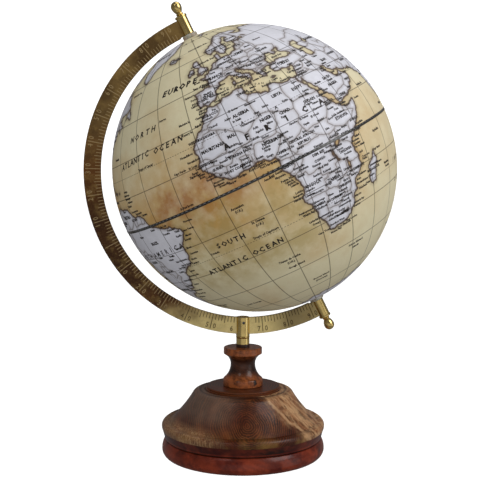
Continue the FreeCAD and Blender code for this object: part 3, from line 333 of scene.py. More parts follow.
BORDERS = """
-2 35 -1.5 32.5 -4 30.5 -8.7 28.7 -8.7 27.7 -13 27.7; -8.7 27.3 -8.7 26 -12 26 -12 23.5 -13 23 -13 21.3
-17 21.3; -8.7 27.3 -4.8 25 -6.5 25 -5.5 15.5 -9.5 15.3 -12 14.8; -16.5 16.2 -14 16.6 -12 14.8 -11.4 12.4
-13.7 12.6 -16.7 12.4; -4.8 25 1.2 21.2 3.2 19 4.2 19.2 11.9 23.5 10 24.5 9.9 26.5 9.5 30.3 7.5 33.8 8.3 35
8.6 37; 9.5 30.3 10.3 31.8 11.5 33.1; 11.9 23.5 15 23 24 19.5; 25 31.6 25 22 24 20 24 15.7 22.5 14 22.8 11
18.5 8 15.5 7.5; 25 22 37 22; 15 23 16 21 15.5 17 13.5 14.3 13.6 13.7 10 13.3 7 13 4 13.5 3.6 11.7 2.8 9
2.7 6.4; 4.2 19.2 4 16.5 3.5 15.4 0.2 15 -2 14.2 -4 13.3 -5.5 10.5 -8 10.3 -11.4 12.4; 0.2 15 2.3 12.3
3.6 11.7; 1.2 6.1 0.5 8 0.2 11 -2.8 11 -2.7 7.5 -3 5.1; 1.7 6.3 1.6 9 0.9 11; -7.5 4.4 -8.4 6.5 -8 10.2;
-8.4 7.6 -10.3 8.5 -11.5 7; -10.3 8.5 -12.5 9.9 -13.3 9; 8.6 4.8 11 6.8 13.2 10 14.5 12.5 13.6 13.7;
14.5 12.5 15.5 10 15.5 7.5 14.6 5.5 16 2 13 2.2 9.8 2.3; 22.8 11 23.5 8.7 27.4 5 22.5 4.1 18.5 4.3 16 2;
24 8.7 28 9.5 33 10 34 9.5; 37.5 17.5 36.5 14.3 34.3 10.7 33 8 35.9 4.7 39.5 3.5 42 4.2 45 5 48 8 43 9
42.9 11; 36.5 14.3 40 14.5 42.3 12.5; 27.4 5 30.8 3.5 33.9 4 35.9 4.7; 33.9 4 34.5 1.2 34 -1 37.5 -3
39.2 -4.7; 42 4.2 41 2.8 41 -0.8 41.6 -1.7; 30.8 3.5 31.3 2.2 29.6 -0.5 29.2 -3.5 30.8 -8.3; 30.8 -8.3
28.5 -9 28.4 -12.5 29.8 -13.4 27 -11.8 24 -11 24 -13 22 -13 22 -16.2 23.4 -17.6 25.3 -17.8 27 -18 28.8 -16
30.4 -15.6 33 -14 33.3 -10.8 33 -9.4 30.8 -8.3; 12.3 -6 16.5 -6 17 -8 21.8 -7.3 22 -11 24 -11; 16 2 18 1
17.7 -1 16 -3.5 12.3 -5.5; 13 2.2 14.3 0 14 -2 11 -3.9; 11.8 -17.3 14 -17.4 18.5 -17.5 23.4 -17.6; 21 -18
21 -22 20 -22 20 -28.4 16.5 -28.6; 20 -25 23 -25.3 25.5 -25.6 27 -23.7 29.4 -22.2 27.7 -20.5 25.3 -17.8;
31.3 -22.4 32.7 -20.5 33 -17 30.4 -15.6; 29.4 -22.2 31.3 -22.4 32 -26 32.9 -26.8; 40.4 -10.5 37 -11.6
34.6 -11.5; 34.6 -14.5 35.3 -16.5 33 -14; 27.2 -29.7 28.6 -28.6 29.3 -29.6 28 -30.6 27.2 -29.7; -7.4 37.2
-7 38.2 -6.9 41.9 -8.8 41.9; -1.8 43.4 0.7 42.8 3.2 42.4; 7.5 43.8 7 45.9 6 46.2 7.6 47.6 8.2 49 6.2 49.5
2.5 51.1; 7 45.9 10.4 46.5 13.7 46.5 13.7 45.7; 7.6 47.6 13 47.5 13.8 48.8 12.2 50.3 15 51 14.3 53.9;
13.8 48.8 17 48.5 18.8 49.5 15 51; 18.8 49.5 22.5 49.1 24 50.5 23.6 52.5 22.8 54.4 19.5 54.4; 17 48.5
16.2 46.9 16.5 46.5 13.7 46.5; 16.5 46.5 18.8 45.9 21 46.2 22.9 48 22.5 49.1; 18.8 45.9 19 44.9 15.8 45.2
13.7 45.5; 21 46.2 22.7 44.2 28.6 43.8; 22.9 48 26.6 48.3 28.2 45.5; 22.7 44.2 22.4 42.3 26.3 41.7 28 42;
22.4 42.3 20.5 42.2 19.4 41.9; 20.5 42.2 21 40.9 20 39.7; 21 40.9 23 41.3 26.3 41.7; 23.6 52.5 30.5 51.3
32 52.1 35 51.2 40 49.6 38.2 47.1; 24 50.5 30.5 51.3; 30.5 51.3 31.5 53.5 30.8 55.8 28.2 56.2 27.5 59.4;
22.8 54.4 26.5 55.3 28.2 56.2; 21 56.2 26.5 55.8; 24.3 57.9 27.4 57.5; 11.3 59 12.5 61.5 12 63.5 14.5 66
18 68.5 20.5 69; 24.2 65.8 23.7 68 20.5 69 25.8 69 28.5 68.5 30 69.7; 28.5 68.5 29.8 65 31.3 62.8 27.8 60.5;
6.2 49.5 5.8 51.8 7.2 53.3; 36 36.2 42.4 37.2 44.8 37.2 44.3 39.5 43.5 41.1 41.6 41.5; 42.4 37.2 41 34.4
38.8 33.4 35.8 32.7; 38.8 33.4 42 31.1 46.5 29.1 48.4 28.5; 44.8 37.2 45.5 35 46 33 48 31 48.5 30; 42 31.1
37 31.5 36 29.3; 43.2 16.6 45.4 17.3 48.8 18.3 52 19 55 22.7 51.6 24.2; 52 19 53 16.6; 46.5 41.8 45 41.2
43.5 41.1; 48.5 41.9 45 42.7 40 43.4; 53.9 37.3 57 38.2 61.2 35.7 60.6 33.8 61.8 31 61 29.8 63.3 27.2
61.6 25.1; 61.2 35.7 64.7 37.1 66.5 37.4 71.3 38 71.4 36.7 74.9 37.2; 61 29.8 66.3 29.9 69.3 31.9 71.4 36.7;
52.5 42 55.4 41.3 58.5 42.6 66.5 37.4; 56 45 58.5 42.6; 66 43 68 41 71 42.3 80.2 42.2; 47 48 47 50 54.7 51
61.5 53.5 71 54.2 77 53.4 87.3 49.1 82.3 45.5 80.2 42.2 73.7 39.5 74.9 37.2 77.8 35.5; 87.3 49.1 98 50
107 49.7 116.7 49.8 120 53 127 50 131 47.7 131 43 130.6 42.4; 87.3 49.1 91 45.2 97 42.7 105 41.6 112 43.7
119.9 46.7 116.7 49.8; 68.2 23.8 71 26 74.5 31 77.8 35.5; 77.8 35.5 78.9 31.3 81 30.2 88.1 27.9 92 27.8
97.3 28.2 98.5 24 101.2 21.5 105.3 23.3 108 21.5; 81 30.2 84 27.4 88.1 26.4 88.1 27.9; 92.3 20.8 92.5 23.5
89 26 88.1 24.5 89 21.7; 97.3 28.2 94 24 92.5 22; 98.5 17 97.8 18.5 100.1 20.4 101.2 21.5; 98.2 10 99.2 13
98.5 17; 100.1 20.4 102 18 105 16 105.5 14.4 102.5 12; 102.2 22.4 104 19.5 107.5 15.3 107.5 12.3 105 10.9;
100.2 6.6 102.1 6.2; 124.3 40 126.9 41.8 130.6 42.4; 126.7 37.8 128.4 38.6; 109.7 2 112 1.4 115 3.5
117.8 4.2; 141 -2.6 141 -9; -123 49 -95 49 -92 48.2 -89 48 -84.6 46.6 -82.5 43 -79 43.2 -75 45 -71 45.2
-69 47.4 -67.5 45.2; -141 69.6 -141 60.3 -137 58.9 -130 55.3; -117.2 32.6 -111 31.4 -106.5 31.8 -103 29
-101 29.8 -99 26.4 -97.2 25.9; -92.3 14.6 -91.5 16.2 -90.5 17.8 -89.2 17.8 -89.2 16 -88.5 15.8; -89.3 14.4
-84.8 14.8 -83.2 15; -85.7 11.1 -83.7 10.9; -82.9 8.3 -82.6 9.5; -77.3 8.6 -77.9 7.3; -71.3 11.8 -72.5 8.5
-67.5 6.2 -67 1.2 -69.8 1.7 -69.9 -4.2 -73 -7.5 -70.6 -9.8 -69.5 -11 -65.3 -10 -65 -12 -60.3 -13.8
-60.2 -16.3 -58 -17.5 -57.8 -20 -58 -22 -54.3 -24 -54.6 -25.6 -53.7 -27 -57.6 -30.2 -53.4 -33.7; -78.9 1.4
-75.5 0 -70 -4.2; -67 1.2 -63.5 2 -60 5 -59.8 1.8 -52 2.2 -51.7 4; -57.2 6 -57.5 2; -54 5.8 -54 2.3;
-80.3 -3.5 -78.5 -4.8 -75.5 0; -69.5 -11 -69 -15 -69.5 -17.6 -70.4 -18.3; -69.5 -17.6 -68.2 -22 -67 -22.9
-68.5 -25 -70 -31 -71.5 -37 -71.8 -42 -72 -50 -68.5 -52.3; -67 -22.9 -62.7 -22.2 -62 -19.5 -58 -20;
-62.7 -22.2 -57.7 -25.2 -58.6 -27.3 -54.6 -25.6; -57.6 -30.2 -58.3 -33.9; 129 -15 129 -31.6; 138 -16.5
138 -26 129 -26; 138 -26 141 -26 141 -38; 141 -29 153.3 -28.3; 141 -34.1 146 -36 150 -37.4; -114 49 -114 60;
-102 49 -102 60; -95 49 -89 57; -79.5 51.5 -79.5 47; -120 60 -60 60; -111 41 -111 45; -104 49 -104 41
-94.6 40 -94.6 33 -104 37
"""


def outlines(text):
    """Lists of points from rows of longitude and latitude pairs, one list up to each semicolon."""
    return [np.array(part.split(), float).reshape(-1, 2) for part in text.split(";") if part.strip()]


def roughen(points, closed, seed, levels=3, share=0.16):
    """Splits each run in two several times and moves each new point sideways, as a coast wanders."""
    random = np.random.RandomState(seed)
    for _ in range(levels):
        ends = np.roll(points, -1, 0) if closed else points[1:]
        starts = points if closed else points[:-1]
        run = ends - starts
        side = np.stack([-run[:, 1], run[:, 0]], 1)
        middle = (starts + ends) / 2 + side * (random.uniform(-share, share, (len(run), 1)))
        woven = np.empty((2 * len(run), 2))
        woven[0::2], woven[1::2] = starts, middle
        points = woven if closed else np.vstack([woven, points[-1:]])
    return points


def physical(latitude):
    """Where a printed latitude sits on the globe, both in degrees."""
    return latitude - LATITUDE_STRETCH * np.sin(np.radians(2 * latitude))


def printed(latitude):
    """The printed latitude at a place on the globe, both in degrees."""
    answer = latitude
    for _ in range(8):
        answer = latitude + LATITUDE_STRETCH * np.sin(np.radians(2 * answer))
    return answer


def reach(latitude):
    """Distance in mm from the globe's centre to its surface at a physical latitude in degrees."""
    cosine = np.cos(np.radians(latitude))
    shift = PROFILE_SHIFT_MM * cosine
    return np.sqrt(shift ** 2 + (EQUATOR_MM + PROFILE_SHIFT_MM) ** 2 - PROFILE_SHIFT_MM ** 2) - shift


def on_globe(longitude, latitude, above_mm=0.0):
    """Points in metres in the globe's own frame for printed longitudes and latitudes."""
    turn = np.radians(longitude - FRONT_LONGITUDE)
    height = physical(latitude)
    far = (reach(height) + above_mm) * MM
    height = np.radians(height)
    return np.stack([far * np.cos(height) * np.sin(turn), -far * np.cos(height) * np.cos(turn),
                     far * np.sin(height)], -1)


def covered(shape, longitudes, latitude):
    """Which longitudes at one latitude, or each at its own, lie inside a closed outline."""
    ends = np.roll(shape, -1, 0)
    crossing = (shape[:, 1] > latitude) != (ends[:, 1] > latitude)
    start, end = shape[crossing], ends[crossing]
    if not len(start):
        return np.zeros(len(longitudes), bool)
    run, rise = (end - start).T
    cuts = np.sort(start[:, 0] + (latitude - start[:, 1]) * run / rise)
    answer = np.zeros(len(longitudes), bool)
    for turn in (-360, 0, 360):
        answer |= np.searchsorted(cuts, longitudes + turn) % 2 == 1
    return answer


class Chart:
    """The land, water and border lines that the print shows, with tests against them."""

    def __init__(self):
        self.land = [roughen(shape, True, 11 + i) for i, shape in enumerate(outlines(LAND))]
        self.water = [roughen(shape, True, 311 + i) for i, shape in enumerate(outlines(WATER))]
        lines = [roughen(line, False, 511 + i, 3, 0.1) for i, line in enumerate(outlines(BORDERS))]
        self.coast_tree = self.tree([self.dense(s, True) for s in self.shore()])
        self.border_tree = self.tree([self.dense(line, False) for line in lines])

    @staticmethod
    def dense(line, closed, step=0.3):
        """The line with points no further apart than the step, in degrees."""
        ends = np.roll(line, -1, 0) if closed else line[1:]
        starts = line if closed else line[:-1]
        rows = [a + (b - a) * np.arange(n)[:, None] / n
                for a, b in zip(starts, ends) for n in [max(1, math.ceil(np.abs(b - a).max() / step))]]
        return np.vstack(rows)

    def shore(self):
        """Land and lake outlines, without the stretches that lie inside other land."""
        for i, shape in enumerate(self.land):
            line = self.dense(shape, True)
            line = line[line[:, 1] > -88]
            hidden = np.zeros(len(line), bool)
            for j, other in enumerate(self.land):
                low, high = other.min(0) - 1, other.max(0) + 1
                if i == j or (line.max(0) < low).any() or (line.min(0) > high).any():
                    continue
                for k, (longitude, latitude) in enumerate(line):
                    if not hidden[k] and low[0] < longitude < high[0] and low[1] < latitude < high[1]:
                        hidden[k] = covered(other, np.array([longitude]), latitude)[0]
            hidden |= (np.abs(line[:, 0]) > 179) & (line[:, 1] < -79)      # where the south land's ends meet
            if (~hidden).any():
                yield line[~hidden]
        yield from self.water

    @staticmethod
    def tree(lines):
        points = np.vstack([on_globe(line[:, 0], line[:, 1]) for line in lines])
        tree = KDTree(len(points))
        for index, point in enumerate(points):
            tree.insert(point, index)
        tree.balance()
        return tree

    def is_land(self, longitudes, latitude):
        land = np.zeros(len(longitudes), bool)
        for shape in self.land:
            if shape[:, 1].min() < latitude < shape[:, 1].max():
                land |= covered(shape, longitudes, latitude)
        for shape in self.water:
            if shape[:, 1].min() < latitude < shape[:, 1].max():
                land &= ~covered(shape, longitudes, latitude)
        return land


def globe_shell(name, up, chart, sizes):
    """Half of the globe as a closed shell, with the chart's distances stored on its outer face."""
    columns, rows, inner_rows = 600, 148, 12
    wall = sizes.shell_wall / MM
    last = 90 - math.degrees(math.asin(POLE_HOLE_MM / reach(90.0)))
    outer = np.linspace(0, last, rows + 1)
    inner = np.linspace(last - 0.1, 0, inner_rows + 1)
    profile = [(reach(a), a) for a in outer] + [(reach(a) - wall, a) for a in inner]
    turn = 2 * np.pi * np.arange(columns) / columns
    circles = [(far * math.cos(math.radians(a)), up * far * math.sin(math.radians(a))) for far, a in profile]
    points = np.concatenate([np.stack([wide * np.sin(turn), -wide * np.cos(turn), np.full(columns, level)], 1)
                             for wide, level in circles]) * MM
    count = len(profile)
    row, column = np.meshgrid(np.arange(count), np.arange(columns), indexing="ij")
    after, beside = (row + 1) % count, (column + 1) % columns
    quads = np.stack([row * columns + column, row * columns + beside, after * columns + beside,
                      after * columns + column], -1).reshape(-1, 4)
    if up < 0:
        quads = quads[:, ::-1]
    shell = piece_from(name, points, quads, GLOBE_PLACE)
    mesh = shell.data

    # bake layout: the outer face as a disc, its lips beside it, and the inside as a small disc in a corner
    middle, corner, rim, lip, small = 0.5, 0.915, 0.485, 0.495, 0.078

    def spot(radius, angle, centre):
        return np.stack([centre + radius * np.cos(angle), centre + radius * np.sin(angle)], -1)
    radius_a = [rim * (1 - a / 90) for a in outer] + [small * (1 - a / 90) for a in inner]
    layer = mesh.uv_layers.new(name="OFBake")
    coords = np.empty((count, columns, 4, 2))
    angles = [turn, turn + 2 * np.pi / columns]
    for k in range(count):
        centre = middle if k <= rows or k == count - 1 else corner
        first, second = radius_a[k], radius_a[(k + 1) % count]
        if k == rows:
            second = first * 0.6
        if k == count - 1:
            first, second = lip, rim
        corners = [spot(first, angles[0], centre), spot(first, angles[1], centre),
                   spot(second, angles[1], centre), spot(second, angles[0], centre)]
        coords[k] = np.stack(corners[::-1] if up < 0 else corners, 1)
    layer.data.foreach_set("uv", coords.ravel())

    # distances in mm from each point to the coast, more than 0 on land, and to the nearest border
    coast = np.full((count, columns), -20.0)
    away = np.full((count, columns), 20.0)
    offset = np.full((count, columns, 3), 20.0)
    longitudes = FRONT_LONGITUDE + np.degrees(turn)
    places = points.reshape(count, columns, 3)
    for k, latitude in enumerate(printed(up * outer)):
        land = chart.is_land(longitudes, latitude)
        for c in range(columns):
            far = chart.coast_tree.find(places[k, c])[2] / MM
            coast[k, c] = far if land[c] else -far
            if land[c] or far < 2:
                nearest, _, far = chart.border_tree.find(places[k, c])
                away[k, c] = far / MM
                offset[k, c] = (np.array(nearest) - places[k, c]) / MM
    for label, kind, values in (("coast", "FLOAT", coast), ("border_far", "FLOAT", away),
                                ("border_way", "FLOAT_VECTOR", offset)):
        store = mesh.attributes.new(label, kind, "POINT")
        field = "vector" if kind == "FLOAT_VECTOR" else "value"
        store.data.foreach_set(field, values.astype(np.float32).ravel())
    smooth(mesh, 40)
    return shell


def map_print(looks):
    """The printed and lacquered paper: parchment sea, pale land, burnt coasts, borders and a grid."""
    f = Finish("globe_print", "globe_print", globe=True, Roughness=0.5, Specular_IOR_Level=0.3)
    x, y, z = f.axes()
    across = (x * x + y * y) ** 0.5
    far = (across * across + z * z) ** 0.5
    height = f.maths("ARCTAN2", z, across) * (180 / math.pi)
    latitude = height
    for _ in range(2):
        latitude = height + LATITUDE_STRETCH * f.maths("SINE", latitude * (math.pi / 90))
    longitude = f.maths("ARCTAN2", x, 0 - y) * (180 / math.pi) + FRONT_LONGITUDE

    wander = f.noise(2.2, 3)
    coast = f.attribute("coast") + (wander - 0.5) * 1.3
    land = coast.step(-0.12, 0.12)
    wash, cloud, fleck = f.noise(38, 3), f.noise(11, 4, rough=0.6), f.noise(1.6, 3, rough=0.7)

    # sea: parchment, browner in a broad belt round the equator, with soft blotches
    west = longitude.step(85, 30) * longitude.step(-150, -90)
    belt = abs(latitude - 1).step(34, 6) * (0.10 + 0.58 * west) + (wash - 0.44) * 1.4
    sea = f.mix((belt * 1.1).step(0.12, 0.95), looks.sea, looks.sea_warm)
    stain = f.noise(13, 4, rough=0.6, shift=(0.02, 0.05, 0.01))
    rusty = abs(latitude - 5).step(13, 4) * longitude.band(-22, 16, 12) * stain.step(0.36, 0.58)
    tan = abs(latitude + 6).step(17, 5) * longitude.band(-14, 18, 16) * stain.step(0.66, 0.42)
    olive = latitude.band(-19, 13, 12) * longitude.band(-16, 24, 16) * (0.25 + 0.5 * stain.step(0.62, 0.44))
    sea = f.mix(olive, sea, looks.sea_olive)
    sea = f.mix(rusty * 0.66 + tan * 0.08, sea, looks.rust)
    sea = f.mix((1 - west) * 0.55, sea, looks.sea_pale)
    sea = f.mix(cloud.step(0.45, 0.75) * 0.4, sea, looks.sea_pale)
    sea = f.mix(fleck.step(0.55, 0.8) * 0.22, sea, looks.sea_warm)
    sea = f.mix((coast.step(-3.2, -0.2)) * 0.30, sea, looks.burnt)

    # land: pale, cool and mottled, darker towards its shore
    ground = f.mix(cloud.step(0.35, 0.7) * 0.45, looks.land, looks.land_grey)
    ground = f.mix(coast.step(2.6, 0.2) * 0.55, ground, looks.shore)
    way = f.attribute("border_way", "Vector")
    line_far = f.node("VectorMath", {"operation": "LENGTH"}, {0: way}, "Value") + (fleck - 0.5) * 0.25
    near = f.attribute("border_far")
    border = line_far.step(0.46, 0.14) * near.step(1.7, 1.2)
    ground = f.mix(line_far.step(1.9, 0.5) * near.step(3.0, 2.2) * 0.28, ground, looks.shore)
    ground = f.mix(border * 0.72, ground, looks.border)
    colour = f.mix(land, sea, ground)
    ragged = coast + (f.noise(0.9, 2) - 0.5) * 0.9
    colour = f.mix(ragged.band(0.1, 0.40, 0.38) * (0.66 + 0.34 * fleck), colour, looks.burnt)

    # grid every 15 degrees, and the dashed tropics and circles
    shrink = f.maths("COSINE", height * (math.pi / 180)) * (EQUATOR_MM * math.pi / 180)
    meridian = abs((longitude / 15 + 0.5) % 1 - 0.5) * 15 * shrink
    parallel = abs((latitude / 15 + 0.5) % 1 - 0.5) * (15 * EQUATOR_MM * math.pi / 180)
    meridian = meridian.step(0.42, 0.12) * abs(latitude).step(80, 79)
    lines = f.maths("MAXIMUM", meridian, parallel.step(0.42, 0.12))
    circle = f.maths("MAXIMUM", abs(latitude).band(23.45, 0.07, 0.12), abs(latitude).band(66.55, 0.07, 0.12))
    dashes = ((longitude / 1.2) % 1).step(0.62, 0.55)
    lines = f.maths("MAXIMUM", lines, circle * dashes * 0.9)
    colour = f.mix(lines * 0.78, colour, looks.grid)

    inside = far.step(EQUATOR_MM - 0.6, EQUATOR_MM - 0.9)
    colour = f.mix(inside, colour, looks.card)
    rough = 0.50 + 0.10 * cloud + 0.2 * inside
    return f.feed(Base_Color=colour, Roughness=rough, bump=fleck * 0.3 + cloud, bump_mm=0.05)


# ---------------------------------------------------------------- lettering

def text_points(text, height_mm, bold=0.0, slant=0.0, depth_mm=0.03, fine=1):
    """A word's closed thin mesh, centred on the origin, x to its right and y up: points in mm and faces."""
    curve = bpy.data.curves.new("word", "FONT")
    curve.body, curve.size, curve.shear, curve.offset = text, 1.0, slant, bold
    curve.extrude, curve.resolution_u = 0.5, fine
    curve.align_x, curve.align_y = "CENTER", "CENTER"
    word = bpy.data.objects.new("word", curve)
    bpy.context.scene.collection.objects.link(word)
    bpy.context.view_layer.update()
    mesh = bpy.data.meshes.new_from_object(word.evaluated_get(bpy.context.evaluated_depsgraph_get()))
    shape = bmesh.new()
    shape.from_mesh(mesh)
    bmesh.ops.remove_doubles(shape, verts=shape.verts, dist=1e-5)
    bmesh.ops.triangulate(shape, faces=shape.faces)
    shape.to_mesh(mesh)
    points = np.array([v.co for v in mesh.vertices], float).reshape(-1, 3)
    faces = [tuple(p.vertices) for p in mesh.polygons]
    bpy.data.objects.remove(word)
    bpy.data.curves.remove(curve)
    bpy.data.meshes.remove(mesh)
    shape.free()
    cap = 0.72
    points[:, :2] *= height_mm / cap
    points[:, 2] *= depth_mm
    return points, faces


_letters = {}


def wrapped(text, longitude, latitude, height, bold, slant, turn, squeeze):
    """A word laid on the globe's surface about a printed place."""
    key = (text, height, bold, slant)
    if key not in _letters:
        _letters[key] = text_points(text, height, bold, slant)
    flat, faces = _letters[key]
    flat = flat * np.array([squeeze, 1, 1])
    east = flat[:, 0] * math.cos(turn) - flat[:, 1] * math.sin(turn)
    north = flat[:, 0] * math.sin(turn) + flat[:, 1] * math.cos(turn)
    height_here = physical(latitude)
    physical_latitude = height_here + np.degrees(north / EQUATOR_MM)
    wide = longitude + np.degrees(east / (EQUATOR_MM * np.cos(np.radians(physical_latitude))))
    above = flat[:, 2] + 0.03
    return on_globe(wide, printed(physical_latitude), above), faces


# Words laid along a line: text, letter height in mm, boldness, slant, the first and the last letter's place.
SPREAD = [
    ("EUROPE", 4.2, 0.045, 0.35, -25.9, 50, -7.7, 49.2), ("NORTH", 3.8, 0.03, 0.35, -48.5, 37.5, -33.6, 37.8),
    ("ATLANTIC", 3.9, 0.03, 0.35, -57.6, 28.1, -39.2, 29.2),
    ("OCEAN", 3.9, 0.03, 0.35, -33.8, 28.7, -21.3, 28.9),
    ("AFRICA", 3.8, 0.055, 0, -4.9, 17.4, 35.5, 16.8), ("SAHARA", 2.4, 0.022, 0, -3, 23.5, 31.9, 22.5),
    ("SOUTH", 3.6, 0.034, 0, -24.8, -19.2, -14.4, -19.5),
    ("ATLANTIC", 3.7, 0.034, 0, -35.9, -29.5, -18.5, -28.9),
    ("OCEAN", 3.7, 0.034, 0, -13.3, -28.5, -2.4, -28.2),
    ("AMERICA", 3.8, 0.02, 0.2, -58.8, -13.6, -39.9, -13.0),
    ("SOUTH", 3.8, 0.02, 0.2, -73, -13.6, -63, -13.6), ("MEDITERRANEAN", 1.6, 0.01, 0.2, 2.5, 40.3, 19, 34.7),
    ("SEA", 1.6, 0.01, 0.2, 22, 34, 26.9, 33.2), ("ASIA", 4, 0.02, 0, 62, 48, 108, 48),
    ("INDIAN", 3.4, 0.01, 0.3, 66, -22, 84, -22), ("OCEAN", 3.4, 0.01, 0.3, 68, -31, 84, -31),
    ("AUSTRALIA", 3.2, 0.02, 0, 118, -24, 148, -24), ("NORTH", 3.4, 0.01, 0.3, -168, 34, -150, 34),
    ("PACIFIC", 3.4, 0.01, 0.3, -170, 24, -142, 24), ("OCEAN", 3.4, 0.01, 0.3, -166, 14, -148, 14),
    ("SOUTH", 3.4, 0.01, 0.3, -136, -24, -118, -24), ("PACIFIC", 3.4, 0.01, 0.3, -142, -33, -114, -33),
    ("OCEAN", 3.4, 0.01, 0.3, -136, -42, -116, -42), ("NORTH", 3.6, 0.02, 0, -112, 52, -92, 52),
    ("AMERICA", 3.6, 0.02, 0, -118, 44, -84, 44), ("ARCTIC", 3, 0.01, 0.3, -10, 75, 40, 75),
    ("ANTARCTICA", 3.2, 0.02, 0, 20, -76, 120, -76), ("PACIFIC", 3.4, 0.01, 0.3, 150, 22, 174, 22),
    ("OCEAN", 3.4, 0.01, 0.3, 154, 12, 172, 12),
]

